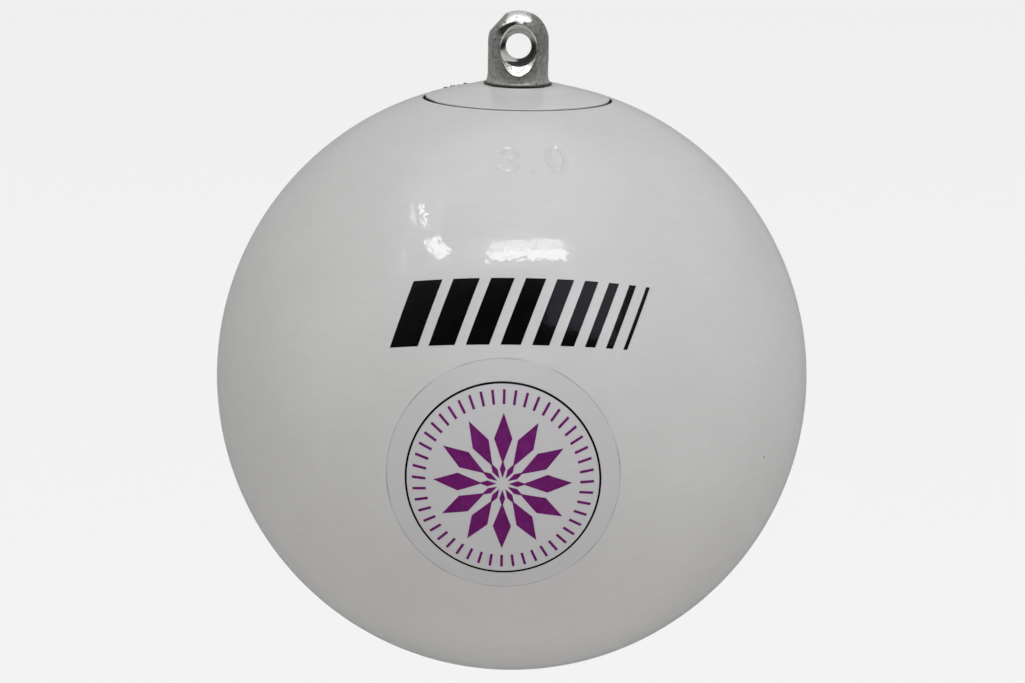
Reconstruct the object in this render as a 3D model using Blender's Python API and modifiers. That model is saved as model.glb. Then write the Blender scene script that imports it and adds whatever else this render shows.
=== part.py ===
"""The head of a throwing hammer: an enamelled iron ball whose eye swivels on a thrust ball bearing.

The origin is the centre of the eye's hole, where the wire pulls. +Z runs along the swivel's axis, out of
the ball, and -Y is the side that carries the print. All sizes are in metres.

How it goes together: the plug screws into the ball and lies flush with it. The eye's shank passes down
through a seal and a bush in the plug, then through the bearing in the pocket under them, and is held
there by a washer and a castle nut with a cotter pin. The wire's pull squeezes the bearing between the
nut and the ceiling of the pocket. A lead slug at the bottom of the ball's bore trims its weight.
"""
import math

import bmesh
import bpy

# The ball, and how far the eye stands out of it
BALL_DIAMETER = 0.090
EYE_RISE = 0.0055  # from the top of the ball to the centre of the eye's hole
RIM_EASE = 0.00025  # chamfer round the mouth of the ball's bore, and round the plug

# The eye: a round bar with a domed end and a hole that opens out to both sides
EYE_BAR_DIAMETER = 0.0092
EYE_CROWN = 0.0008  # from the hole's centre up to the centre of the dome
EYE_THROAT_DIAMETER = 0.00385
EYE_THROAT_LAND = 0.0022  # half the length over which the throat is rounded
EYE_BORE_DIAMETER = 0.0050
EYE_BORE_DRAFT = 0.00012  # how much the bore's radius opens towards the countersink
COUNTERSINK_DEPTH = 0.00108
COUNTERSINK_HALF_ANGLE = math.radians(52)
FOOT_OVERHANG = 0.0006  # the lip at the foot of the bar, over the plug
FOOT_FLARE = 0.0010
FOOT_EDGE = 0.00018

# The shank, which carries the load
SHANK_DIAMETER = 0.008
SHANK_POINT = 0.0008  # chamfer at its threaded end
SHANK_REACH = 0.0010  # how far it comes out of the nut

# The plug, with the bush and the seal in its throat
PLUG_DIAMETER = 0.0281
SPOT_MARGIN = 0.0006  # width of the spot face that shows round the eye's foot
SKIRT_REACH = 0.0017  # how far the skirt reaches below the bearing
SKIRT_EASE = 0.0004
BUSH_WALL = 0.0009
BUSH_LENGTH = 0.008
SEAL_DEPTH = 0.0002

# The thrust bearing: two grooved races with a ring of balls in a cage
BEARING_BALL_DIAMETER = 0.003969
RACE_THICKNESS = 0.0021
RACE_GROOVE = 0.0006  # depth of the groove that the balls run in
RACE_LAND = 0.000766  # what the race's width leaves beside a ball, on either side
RACE_RELIEF = 0.0002  # each race clears what turns past it by this much
RACE_EASE = 0.0003
CAGE_THICKNESS = 0.0020
CAGE_RIM = 0.00025  # metal between a pocket and the cage's edge
CAGE_WEB = 0.00035  # least metal between two pockets
POCKET_GAP = 0.00012

# What holds the shank down: a washer, a castle nut and a cotter pin
WASHER_DIAMETER = 0.016
WASHER_THICKNESS = 0.0016
NUT_ACROSS_FLATS = 0.013
NUT_FACE_DIAMETER = 0.01235  # inside the chamfer on each end
NUT_CHAMFER_ANGLE = math.radians(30)
NUT_HEX_HEIGHT = 0.0065
NUT_CROWN_HEIGHT = 0.0030
NUT_SLOT_WIDTH = 0.0025
PIN_HOLE_DIAMETER = 0.0020
PIN_WIRE_DIAMETER = 0.00084
PIN_WIRE_GAP = 0.0001  # between the pin's two strands
PIN_LOOP_RADIUS = 0.0011  # to the middle of the wire
PIN_FILLET_RADIUS = 0.0006  # where the strands spread into the loop
PIN_BEND_RADIUS = 0.0009
PIN_OVERHANG = 0.0001  # straight wire between the nut's flat and each bend
PIN_LONG_LEG = 0.0035
PIN_SHORT_LEG = 0.0022

# The room under the plug, and the slug of lead in it
CHAMBER_ROOM = 0.0012  # round the cotter pin
NUT_ROOM = 0.0028  # between the shank's end and the lead
BALLAST_LENGTH = 0.0105

# Clearances, kept open because neighbouring facets must not touch
SEAM_GAP = 0.0003  # round the plug's thread, and under its skirt
FOOT_GAP = 0.0003  # under the eye's foot
SEAT_GAP = 0.0001  # round and under pieces that are pressed in or rest
RUN_GAP = 0.00008  # between the shank and what it turns in
RACE_GAP = 0.00008  # between a bearing ball and its grooves

# Facets round each piece
BALL_FACETS = 64
TURNED_FACETS = 48
SMALL_FACETS = 32
POCKET_FACETS = 20
BEARING_BALL_FACETS = 12
BEARING_BALL_RINGS = 8
NUT_SIDES = 6
NUT_SLOTS = 3  # each runs right across the crown
SHARP_ANGLE = math.radians(28)
MERGE_DISTANCE = 0.000001

# Facets along each arc of a profile
BALL_UPPER_STEPS = 11
BALL_LOWER_STEPS = 14
PLUG_CAP_STEPS = 3
SEAL_STEPS = 6
GROOVE_STEPS = 6
DOME_STEPS = 8
FLARE_STEPS = 3
THROAT_STEPS = 6
PIN_BEND_STEPS = 4
PIN_FILLET_STEPS = 2
PIN_LOOP_STEPS = 14
PIN_WIRE_STEPS = 2

# Radii that follow from those sizes
BALL_RADIUS = BALL_DIAMETER / 2
PLUG_RADIUS = PLUG_DIAMETER / 2
BORE_RADIUS = PLUG_RADIUS + SEAM_GAP
EYE_BAR_RADIUS = EYE_BAR_DIAMETER / 2
FOOT_RADIUS = EYE_BAR_RADIUS + FOOT_OVERHANG
SHANK_RADIUS = SHANK_DIAMETER / 2
BUSH_INNER = SHANK_RADIUS + RUN_GAP
BUSH_OUTER = BUSH_INNER + BUSH_WALL
THROAT_RADIUS = BUSH_OUTER + SEAT_GAP
SEAL_SECTION = (THROAT_RADIUS - SHANK_RADIUS) / 2 - RUN_GAP
SPOT_RADIUS = max(FOOT_RADIUS, THROAT_RADIUS) + SPOT_MARGIN
BEARING_BALL_RADIUS = BEARING_BALL_DIAMETER / 2
GROOVE_RADIUS = BEARING_BALL_RADIUS + RACE_GAP
POCKET_RADIUS = BEARING_BALL_RADIUS + POCKET_GAP
PITCH_RADIUS = SHANK_RADIUS + RACE_LAND + BEARING_BALL_RADIUS
RACE_RADIUS = PITCH_RADIUS + BEARING_BALL_RADIUS + RACE_LAND
SKIRT_BORE = RACE_RADIUS + SEAT_GAP
BEARING_BALL_COUNT = int(2 * math.pi * PITCH_RADIUS / (2 * POCKET_RADIUS + CAGE_WEB))
PIN_STRAND = (PIN_WIRE_DIAMETER + PIN_WIRE_GAP) / 2
PIN_STRAIGHT = NUT_ACROSS_FLATS / 2 + PIN_OVERHANG
# where a strand's outward curve meets the loop, both have the same direction
PIN_MEET = math.asin((PIN_STRAND + PIN_FILLET_RADIUS) / (PIN_LOOP_RADIUS + PIN_FILLET_RADIUS))
PIN_LOOP_CENTRE = PIN_STRAIGHT + (PIN_LOOP_RADIUS + PIN_FILLET_RADIUS) * math.cos(PIN_MEET)
CHAMBER_RADIUS = PIN_LOOP_CENTRE + PIN_LOOP_RADIUS + PIN_WIRE_DIAMETER / 2 + CHAMBER_ROOM

# Levels along the swivel's axis, from the ball's top surface down to the bottom of its bore
BALL_LEVEL = -(EYE_RISE + BALL_RADIUS)
SPOT_LEVEL = BALL_LEVEL + math.sqrt(BALL_RADIUS**2 - SPOT_RADIUS**2)
FOOT_LEVEL = SPOT_LEVEL + FOOT_GAP
SEAL_LEVEL = SPOT_LEVEL - SEAL_DEPTH - SEAL_SECTION
BUSH_LEVEL = SEAL_LEVEL - SEAL_SECTION - SEAT_GAP
POCKET_LEVEL = BUSH_LEVEL - BUSH_LENGTH
UPPER_RACE_LEVEL = POCKET_LEVEL - SEAT_GAP
BEARING_LEVEL = UPPER_RACE_LEVEL - (RACE_THICKNESS - RACE_GROOVE) - GROOVE_RADIUS
LOWER_RACE_LEVEL = 2 * BEARING_LEVEL - UPPER_RACE_LEVEL
WASHER_LEVEL = LOWER_RACE_LEVEL - SEAT_GAP
NUT_LEVEL = WASHER_LEVEL - WASHER_THICKNESS - SEAT_GAP
PIN_LEVEL = NUT_LEVEL - NUT_HEX_HEIGHT - NUT_CROWN_HEIGHT / 2
SHANK_END = NUT_LEVEL - NUT_HEX_HEIGHT - NUT_CROWN_HEIGHT - SHANK_REACH
PLUG_FOOT = LOWER_RACE_LEVEL - SKIRT_REACH
SHOULDER_LEVEL = PLUG_FOOT - SEAM_GAP
BALLAST_LEVEL = SHANK_END - NUT_ROOM
CHAMBER_FLOOR = BALLAST_LEVEL - BALLAST_LENGTH - SEAT_GAP


def new_collection(name):
    collection = bpy.data.collections.new(name)
    bpy.context.scene.collection.children.link(collection)
    return collection


def linear(hex_colour):
    """The linear colour of an sRGB hex value, as a Principled BSDF wants it."""
    channels = [int(hex_colour[i : i + 2], 16) / 255 for i in (1, 3, 5)]
    return [c / 12.92 if c <= 0.04045 else ((c + 0.055) / 1.055) ** 2.4 for c in channels] + [1.0]


def finish(name, hex_colour, roughness, metallic):
    """A plain material with the piece's own colour."""
    material = bpy.data.materials.new(name)
    material.use_nodes = True
    shader = material.node_tree.nodes["Principled BSDF"]
    shader.inputs["Base Color"].default_value = linear(hex_colour)
    shader.inputs["Roughness"].default_value = roughness
    shader.inputs["Metallic"].default_value = metallic
    return material


def smooth_by_angle():
    """A node group that shades a piece smooth and leaves its corners sharp."""
    group = bpy.data.node_groups.new("smooth_by_angle", "GeometryNodeTree")
    group.interface.new_socket("Geometry", in_out="INPUT", socket_type="NodeSocketGeometry")
    group.interface.new_socket("Geometry", in_out="OUTPUT", socket_type="NodeSocketGeometry")
    start = group.nodes.new("NodeGroupInput")
    rounded = group.nodes.new("GeometryNodeSetShadeSmooth")
    angle = group.nodes.new("GeometryNodeInputMeshEdgeAngle")
    corner = group.nodes.new("FunctionNodeCompare")
    corner.operation = "GREATER_THAN"
    corner.inputs["B"].default_value = SHARP_ANGLE
    sharp = group.nodes.new("GeometryNodeSetShadeSmooth")
    sharp.domain = "EDGE"
    sharp.inputs["Shade Smooth"].default_value = False
    end = group.nodes.new("NodeGroupOutput")
    group.links.new(start.outputs["Geometry"], rounded.inputs["Geometry"])
    group.links.new(rounded.outputs["Geometry"], sharp.inputs["Geometry"])
    group.links.new(angle.outputs["Unsigned Angle"], corner.inputs["A"])
    group.links.new(corner.outputs["Result"], sharp.inputs["Selection"])
    group.links.new(sharp.outputs["Geometry"], end.inputs["Geometry"])
    return group


def arc(centre, radius, start, end, steps):
    """Points (r, z) along an arc, with angles measured from the outward direction towards +Z."""
    angles = [start + (end - start) * i / steps for i in range(steps + 1)]
    return [(centre[0] + radius * math.cos(a), centre[1] + radius * math.sin(a)) for a in angles]


def turned(name, profile, collection, facets=TURNED_FACETS, closed=False):
    """A profile of (r, z) points screwed round Z. A closed profile is a ring's section."""
    mesh = bpy.data.meshes.new(name)
    count = len(profile)
    edges = [(i, (i + 1) % count) for i in range(count if closed else count - 1)]
    mesh.from_pydata([(r, 0.0, z) for r, z in profile], edges, [])
    piece = bpy.data.objects.new(name, mesh)
    collection.objects.link(piece)
    screw = piece.modifiers.new("turned", "SCREW")
    screw.steps = facets
    screw.render_steps = facets
    screw.use_merge_vertices = True
    screw.merge_threshold = MERGE_DISTANCE
    return piece


def solid(name, shape, collection):
    """An object made from a bmesh."""
    mesh = bpy.data.meshes.new(name)
    shape.to_mesh(mesh)
    shape.free()
    piece = bpy.data.objects.new(name, mesh)
    collection.objects.link(piece)
    return piece


def cylinder(shape, radius, length, facets):
    """Adds a cylinder along Z, centred on the origin, to a bmesh and returns its vertices."""
    made = bmesh.ops.create_cone(
        shape, cap_ends=True, segments=facets, radius1=radius, radius2=radius, depth=length
    )
    return made["verts"]


def cut(piece, cutter, operation="DIFFERENCE"):
    boolean = piece.modifiers.new(cutter.name, "BOOLEAN")
    boolean.operation = operation
    boolean.object = cutter


def complete(piece, material, parent, group):
    """Gives a piece its material, its shading and the frame that it moves with."""
    piece.data.materials.append(material)
    piece.parent = parent
    if group:
        piece.modifiers.new("smooth_by_angle", "NODES").node_group = group


def frame(name, level, collection):
    """An empty on the swivel's axis, which carries the pieces that turn together."""
    empty = bpy.data.objects.new(name, None)
    empty.location.z = level
    empty.empty_display_size = BALL_RADIUS
    collection.objects.link(empty)
    return empty


def on_sphere(radius):
    """Height of the ball's surface above its centre, at a radius from the axis."""
    return math.sqrt(BALL_RADIUS**2 - radius**2)


def head_ball(parts):
    """The iron ball, turned all over, with a bore for the plug and a narrower chamber under it."""
    lip = BORE_RADIUS + RIM_EASE
    lip_angle = math.acos(lip / BALL_RADIUS)
    profile = [
        (0.0, CHAMBER_FLOOR - BALL_LEVEL),
        (CHAMBER_RADIUS, CHAMBER_FLOOR - BALL_LEVEL),
        (CHAMBER_RADIUS, SHOULDER_LEVEL - BALL_LEVEL),
        (BORE_RADIUS, SHOULDER_LEVEL - BALL_LEVEL),
        (BORE_RADIUS, on_sphere(lip) - RIM_EASE),
    ]
    profile += arc((0.0, 0.0), BALL_RADIUS, lip_angle, 0.0, BALL_UPPER_STEPS)
    profile += arc((0.0, 0.0), BALL_RADIUS, 0.0, -math.pi / 2, BALL_LOWER_STEPS)[1:-1]
    profile.append((0.0, -BALL_RADIUS))
    return turned("head_ball", profile, parts, BALL_FACETS)


def swivel_plug(parts):
    """The steel plug: the cap of the sphere, with a throat for the bush and a skirt round the bearing."""
    lip = PLUG_RADIUS - RIM_EASE
    spot_angle = math.acos(SPOT_RADIUS / BALL_RADIUS)
    lip_angle = math.acos(lip / BALL_RADIUS)
    foot = PLUG_FOOT - BALL_LEVEL
    profile = [(THROAT_RADIUS, SPOT_LEVEL - BALL_LEVEL)]
    profile += arc((0.0, 0.0), BALL_RADIUS, spot_angle, lip_angle, PLUG_CAP_STEPS)
    profile += [
        (PLUG_RADIUS, on_sphere(lip) - RIM_EASE),
        (PLUG_RADIUS, foot + SKIRT_EASE),
        (PLUG_RADIUS - SKIRT_EASE, foot),
        (SKIRT_BORE + SKIRT_EASE, foot),
        (SKIRT_BORE, foot + SKIRT_EASE),
        (SKIRT_BORE, POCKET_LEVEL - BALL_LEVEL),
        (THROAT_RADIUS, POCKET_LEVEL - BALL_LEVEL),
    ]
    return turned("swivel_plug", profile, parts, BALL_FACETS, closed=True)


def lead_ballast(parts):
    """The slug of lead cast into the bottom of the chamber."""
    radius = CHAMBER_RADIUS - SEAT_GAP
    profile = [(0.0, 0.0), (radius, 0.0), (radius, -BALLAST_LENGTH), (0.0, -BALLAST_LENGTH)]
    piece = turned("lead_ballast", profile, parts)
    piece.location.z = BALLAST_LEVEL - BALL_LEVEL
    return piece


def guide_bush(parts):
    """The bronze bush pressed into the plug's throat, which keeps the shank upright."""
    profile = [
        (BUSH_OUTER, 0.0),
        (BUSH_OUTER, -BUSH_LENGTH),
        (BUSH_INNER, -BUSH_LENGTH),
        (BUSH_INNER, 0.0),
    ]
    piece = turned("guide_bush", profile, parts, SMALL_FACETS, closed=True)
    piece.location.z = BUSH_LEVEL - BALL_LEVEL
    return piece


def grease_seal(parts):
    """The rubber ring above the bush, which keeps grease in and sand out."""
    centre = (SHANK_RADIUS + RUN_GAP + SEAL_SECTION, 0.0)
    profile = arc(centre, SEAL_SECTION, math.pi / 2, -3 * math.pi / 2, SEAL_STEPS)[:-1]
    piece = turned("grease_seal", profile, parts, SMALL_FACETS, closed=True)
    piece.location.z = SEAL_LEVEL - BALL_LEVEL
    return piece


def race(name, inner, outer, parts):
    """A grooved bearing washer, drawn as the upper one: its back at z = 0 and its groove underneath."""
    face = -RACE_THICKNESS
    groove_centre = (PITCH_RADIUS, face + RACE_GROOVE - GROOVE_RADIUS)
    spread = math.acos((GROOVE_RADIUS - RACE_GROOVE) / GROOVE_RADIUS)
    profile = [(outer - RACE_EASE, 0.0), (outer, -RACE_EASE), (outer, face)]
    start = math.pi / 2 - spread
    profile += arc(groove_centre, GROOVE_RADIUS, start, math.pi - start, GROOVE_STEPS)
    profile += [(inner, face), (inner, -RACE_EASE), (inner + RACE_EASE, 0.0)]
    return turned(name, profile, parts, closed=True)


def upper_race(parts):
    """The race that stays with the plug, against the ceiling of its pocket."""
    piece = race("upper_race", SHANK_RADIUS + RACE_RELIEF, RACE_RADIUS, parts)
    piece.location.z = UPPER_RACE_LEVEL - BALL_LEVEL
    return piece


def lower_race(parts):
    """The race that turns with the shank, laid face up on the washer."""
    piece = race("lower_race", SHANK_RADIUS + SEAT_GAP, RACE_RADIUS - RACE_RELIEF, parts)
    piece.rotation_euler.x = math.pi
    piece.location.z = LOWER_RACE_LEVEL
    return piece


def bearing_cage(parts, cutters):
    """The brass ring that keeps the bearing's balls apart, one pocket to a ball."""
    inner = PITCH_RADIUS - POCKET_RADIUS - CAGE_RIM
    outer = PITCH_RADIUS + POCKET_RADIUS + CAGE_RIM
    half = CAGE_THICKNESS / 2
    profile = [(outer, half), (outer, -half), (inner, -half), (inner, half)]
    piece = turned("bearing_cage", profile, parts, closed=True)
    pockets = bmesh.new()
    for i in range(BEARING_BALL_COUNT):
        angle = 2 * math.pi * i / BEARING_BALL_COUNT
        verts = cylinder(pockets, POCKET_RADIUS, 2 * CAGE_THICKNESS, POCKET_FACETS)
        offset = (PITCH_RADIUS * math.cos(angle), PITCH_RADIUS * math.sin(angle), 0.0)
        bmesh.ops.translate(pockets, verts=verts, vec=offset)
    cutter = solid("cage_pockets", pockets, cutters)
    cutter.parent = piece
    cut(piece, cutter)
    return piece


def bearing_balls(parts):
    """The bearing's steel balls, which share a mesh. Each has its own X axis, its rolling axis, radial."""
    shape = bmesh.new()
    bmesh.ops.create_uvsphere(
        shape,
        u_segments=BEARING_BALL_FACETS,
        v_segments=BEARING_BALL_RINGS,
        radius=BEARING_BALL_RADIUS,
    )
    first = solid("bearing_ball_1", shape, parts)
    balls = [first]
    for i in range(1, BEARING_BALL_COUNT):
        ball = bpy.data.objects.new(f"bearing_ball_{i + 1}", first.data)
        parts.objects.link(ball)
        balls.append(ball)
    for i, ball in enumerate(balls):
        angle = 2 * math.pi * i / BEARING_BALL_COUNT
        ball.location = (PITCH_RADIUS * math.cos(angle), PITCH_RADIUS * math.sin(angle), 0.0)
        ball.rotation_euler.z = angle
    return balls


def eye_hole(cutters):
    """The cutter for the eye's hole: a rounded throat, a bore with draft and a wide countersink."""
    throat = EYE_THROAT_DIAMETER / 2
    bore = EYE_BORE_DIAMETER / 2
    rise = bore - throat
    rounding = (EYE_THROAT_LAND**2 + rise**2) / (2 * rise)
    half_turn = math.asin(EYE_THROAT_LAND / rounding)
    seat = EYE_BAR_RADIUS - COUNTERSINK_DEPTH
    reach = EYE_BAR_RADIUS + COUNTERSINK_DEPTH
    mouth = bore + EYE_BORE_DRAFT + (reach - seat) * math.tan(COUNTERSINK_HALF_ANGLE)
    centre = (throat + rounding, 0.0)
    profile = [(0.0, reach), (mouth, reach), (bore + EYE_BORE_DRAFT, seat)]
    profile += arc(centre, rounding, math.pi - half_turn, math.pi + half_turn, THROAT_STEPS)
    profile += [(bore + EYE_BORE_DRAFT, -seat), (mouth, -reach), (0.0, -reach)]
    cutter = turned("eye_hole", profile, cutters, SMALL_FACETS)
    cutter.rotation_euler.x = math.pi / 2
    return cutter


def swivel_spindle(parts, cutters):
    """The eye, its flared foot and its shank, one steel piece with a hole for the cotter pin."""
    foot_edge = FOOT_LEVEL + FOOT_EDGE
    profile = arc((0.0, EYE_CROWN), EYE_BAR_RADIUS, math.pi / 2, 0.0, DOME_STEPS)
    profile[0] = (0.0, EYE_CROWN + EYE_BAR_RADIUS)
    for i in range(FLARE_STEPS + 1):
        turn = math.pi / 2 * i / FLARE_STEPS
        across = FOOT_OVERHANG * (1 - math.cos(turn))
        profile.append((EYE_BAR_RADIUS + across, foot_edge + FOOT_FLARE * (1 - math.sin(turn))))
    profile += [
        (FOOT_RADIUS, FOOT_LEVEL),
        (SHANK_RADIUS, FOOT_LEVEL),
        (SHANK_RADIUS, SHANK_END + SHANK_POINT),
        (SHANK_RADIUS - SHANK_POINT, SHANK_END),
        (0.0, SHANK_END),
    ]
    piece = turned("swivel_spindle", profile, parts)
    cut(piece, eye_hole(cutters))
    hole = bmesh.new()
    cylinder(hole, PIN_HOLE_DIAMETER / 2, 2 * SHANK_DIAMETER, POCKET_FACETS)
    cutter = solid("pin_hole", hole, cutters)
    cutter.rotation_euler.y = math.pi / 2
    cutter.location.z = PIN_LEVEL
    cut(piece, cutter)
    return piece


def thrust_washer(parts):
    """The hardened washer between the nut and the lower race."""
    inner = SHANK_RADIUS + SEAT_GAP
    outer = WASHER_DIAMETER / 2
    profile = [
        (outer, 0.0),
        (outer, -WASHER_THICKNESS),
        (inner, -WASHER_THICKNESS),
        (inner, 0.0),
    ]
    piece = turned("thrust_washer", profile, parts, closed=True)
    piece.location.z = WASHER_LEVEL
    return piece


def castle_nut(parts, cutters):
    """The slotted hexagon nut: chamfered at both ends, with a slot across each pair of flats."""
    height = NUT_HEX_HEIGHT + NUT_CROWN_HEIGHT
    corner = NUT_ACROSS_FLATS / 2 / math.cos(math.pi / NUT_SIDES)
    face = NUT_FACE_DIAMETER / 2
    slope = (corner - face) * math.tan(NUT_CHAMFER_ANGLE)
    hexagon = bmesh.new()
    verts = cylinder(hexagon, corner, height, NUT_SIDES)
    bmesh.ops.translate(hexagon, verts=verts, vec=(0.0, 0.0, -height / 2))
    piece = solid("castle_nut", hexagon, parts)
    piece.location.z = NUT_LEVEL
    profile = [
        (0.0, SEAT_GAP),
        (face - SEAT_GAP, SEAT_GAP),
        (corner + SEAT_GAP, -slope - SEAT_GAP / 2),
        (corner + SEAT_GAP, -height + slope + SEAT_GAP / 2),
        (face - SEAT_GAP, -height - SEAT_GAP),
        (0.0, -height - SEAT_GAP),
    ]
    chamfers = turned("nut_chamfers", profile, cutters, SMALL_FACETS)
    bore = bmesh.new()
    cylinder(bore, SHANK_RADIUS + SEAT_GAP, 4 * height, SMALL_FACETS)
    holes = [solid("nut_bore", bore, cutters)]
    for i in range(NUT_SLOTS):
        slot = bmesh.new()
        bmesh.ops.create_cube(slot, size=1.0)
        size = (4 * corner, NUT_SLOT_WIDTH, 2 * NUT_CROWN_HEIGHT)
        bmesh.ops.scale(slot, vec=size, verts=slot.verts)
        cutter = solid(f"nut_slot_{i + 1}", slot, cutters)
        cutter.rotation_euler.z = math.pi * i / NUT_SLOTS
        cutter.location.z = -height
        holes.append(cutter)
    chamfers.parent = piece
    cut(piece, chamfers, "INTERSECT")
    for cutter in holes:
        cutter.parent = piece
        cut(piece, cutter)
    return piece


def pin_route():
    """The wire's path in the XZ plane: down a leg, through the shank, round the loop and back."""
    height = PIN_STRAND + PIN_BEND_RADIUS
    quarter = math.pi / 2
    bend = arc((-PIN_STRAIGHT, height), PIN_BEND_RADIUS, -math.pi, -quarter, PIN_BEND_STEPS)
    spread = arc(
        (PIN_STRAIGHT, PIN_STRAND + PIN_FILLET_RADIUS),
        PIN_FILLET_RADIUS,
        -quarter,
        -PIN_MEET,
        PIN_FILLET_STEPS,
    )
    start = math.pi - PIN_MEET
    loop = arc((PIN_LOOP_CENTRE, 0.0), PIN_LOOP_RADIUS, start, -start, PIN_LOOP_STEPS)[1:-1]
    there = [(-PIN_STRAIGHT - PIN_BEND_RADIUS, height + PIN_LONG_LEG)] + bend + spread
    back = [(x, -z) for x, z in reversed(bend + spread)]
    back.append((-PIN_STRAIGHT - PIN_BEND_RADIUS, -height - PIN_SHORT_LEG))
    return there + loop + back


def cotter_pin(parts):
    """The split pin: one wire bent double, its loop on one side and its legs turned up and down."""
    curve = bpy.data.curves.new("cotter_pin", "CURVE")
    curve.dimensions = "3D"
    curve.bevel_depth = PIN_WIRE_DIAMETER / 2
    curve.bevel_resolution = PIN_WIRE_STEPS
    curve.use_fill_caps = True
    points = pin_route()
    wire = curve.splines.new("POLY")
    wire.points.add(len(points) - 1)
    for point, (x, z) in zip(wire.points, points):
        point.co = (x, 0.0, z, 1.0)
    piece = bpy.data.objects.new("cotter_pin", curve)
    parts.objects.link(piece)
    piece.location.z = PIN_LEVEL
    return piece


def hide_cutters(cutters):
    for cutter in cutters.objects:
        cutter.hide_render = True
        cutter.display_type = "WIRE"


def main():
    for old in list(bpy.data.objects):
        bpy.data.objects.remove(old)
    parts = new_collection("throwing_hammer_head")
    cutters = new_collection("cutters")
    shading = smooth_by_angle()
    head = frame("head_frame", BALL_LEVEL, parts)
    swivel = frame("swivel_axis", 0.0, parts)
    cage = frame("cage_axis", BEARING_LEVEL, parts)

    complete(head_ball(parts), finish("white_enamel", "#CBCAC7", 0.15, 0.0), head, shading)
    complete(swivel_plug(parts), finish("white_enamel_plug", "#C9C8C4", 0.2, 0.0), head, shading)
    complete(lead_ballast(parts), finish("cast_lead", "#6E7176", 0.6, 1.0), head, shading)
    complete(guide_bush(parts), finish("oiled_bronze", "#A9804A", 0.4, 1.0), head, shading)
    complete(grease_seal(parts), finish("nitrile_rubber", "#1E1E1F", 0.6, 0.0), head, shading)
    complete(upper_race(parts), finish("upper_race_steel", "#B4B6B9", 0.15, 1.0), head, shading)

    spindle = swivel_spindle(parts, cutters)
    complete(spindle, finish("pitted_steel", "#8B8A86", 0.45, 1.0), swivel, shading)
    complete(lower_race(parts), finish("lower_race_steel", "#B4B6B9", 0.15, 1.0), swivel, shading)
    complete(thrust_washer(parts), finish("hardened_washer", "#55575C", 0.35, 1.0), swivel, shading)
    nut = castle_nut(parts, cutters)
    complete(nut, finish("zinc_plated_nut", "#A8A79A", 0.35, 1.0), swivel, shading)
    complete(cotter_pin(parts), finish("bright_pin_wire", "#B9B9B6", 0.3, 1.0), swivel, None)

    ring = bearing_cage(parts, cutters)
    complete(ring, finish("pressed_brass", "#B8964F", 0.3, 1.0), cage, shading)
    ball_steel = finish("chrome_steel_ball", "#D0D2D5", 0.06, 1.0)
    for i, ball in enumerate(bearing_balls(parts)):
        ball.parent = cage
        if i == 0:
            ball.data.materials.append(ball_steel)
        ball.modifiers.new("smooth_by_angle", "NODES").node_group = shading
    hide_cutters(cutters)


main()
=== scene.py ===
"""The looks of a throwing hammer's head: a painted iron ball with a flush plug and a swivelling steel eye.

All lengths are in metres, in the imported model's frame: the origin is the centre of the eye's hole, +Z runs
out of the ball along the swivel's axis, and -Y is the printed side.
"""
import math
import random

import bmesh
import bpy
import numpy as np
from mathutils import Matrix, Vector, noise


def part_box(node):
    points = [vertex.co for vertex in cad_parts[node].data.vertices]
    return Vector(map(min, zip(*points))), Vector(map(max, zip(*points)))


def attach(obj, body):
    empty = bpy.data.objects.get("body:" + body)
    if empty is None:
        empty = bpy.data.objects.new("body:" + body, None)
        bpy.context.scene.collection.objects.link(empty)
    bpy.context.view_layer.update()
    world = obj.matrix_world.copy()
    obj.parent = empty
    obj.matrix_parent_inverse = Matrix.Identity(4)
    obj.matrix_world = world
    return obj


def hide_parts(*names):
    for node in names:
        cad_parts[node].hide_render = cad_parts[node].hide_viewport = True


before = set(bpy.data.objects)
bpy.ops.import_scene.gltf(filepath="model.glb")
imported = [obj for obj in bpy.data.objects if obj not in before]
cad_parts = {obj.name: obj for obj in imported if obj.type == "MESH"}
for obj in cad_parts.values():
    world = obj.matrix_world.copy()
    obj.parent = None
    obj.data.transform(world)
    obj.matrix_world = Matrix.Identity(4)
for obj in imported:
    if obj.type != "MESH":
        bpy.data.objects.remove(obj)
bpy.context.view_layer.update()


# The view
# A long lens a metre away looks down by about ten degrees at the printed side, and leans a little. The
# camera stands where the painted ball's outline falls on the circle that the photograph shows.
MM = 0.001
IMAGE_WIDTH = 1025
IMAGE_HEIGHT = 683
OUTLINE_PIXEL = (511.76, 374.92)  # the middle of the ball's outline
OUTLINE_PIXELS = 294.87  # its radius
CAMERA_DISTANCE = 1.0
CAMERA_ELEVATION = math.radians(9.6)
CAMERA_LEAN = math.radians(1.2)
SENSOR_WIDTH = 36.0

ball_low, ball_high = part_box("head_ball")
CAST_RADIUS = (ball_high.x - ball_low.x) / 2
PAINTED_RADIUS = CAST_RADIUS - 0.07 * MM  # leaves room for the films and the ink inside the solid's box
BALL_CENTRE = Vector((0.0, 0.0, ball_low.z + CAST_RADIUS))

level_up = Vector((0.0, math.sin(CAMERA_ELEVATION), math.cos(CAMERA_ELEVATION)))
level_right = Vector((1.0, 0.0, 0.0))
view_back = Vector((0.0, -math.cos(CAMERA_ELEVATION), math.sin(CAMERA_ELEVATION)))
view_up = level_up * math.cos(CAMERA_LEAN) - level_right * math.sin(CAMERA_LEAN)
view_right = level_right * math.cos(CAMERA_LEAN) + level_up * math.sin(CAMERA_LEAN)
focal_pixels = OUTLINE_PIXELS * math.sqrt(CAMERA_DISTANCE**2 - PAINTED_RADIUS**2) / PAINTED_RADIUS
pixel_size = CAMERA_DISTANCE / focal_pixels
view_point = BALL_CENTRE + view_back * CAMERA_DISTANCE
view_point += view_right * (IMAGE_WIDTH / 2 - OUTLINE_PIXEL[0]) * pixel_size
view_point += view_up * (OUTLINE_PIXEL[1] - IMAGE_HEIGHT / 2) * pixel_size

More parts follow.
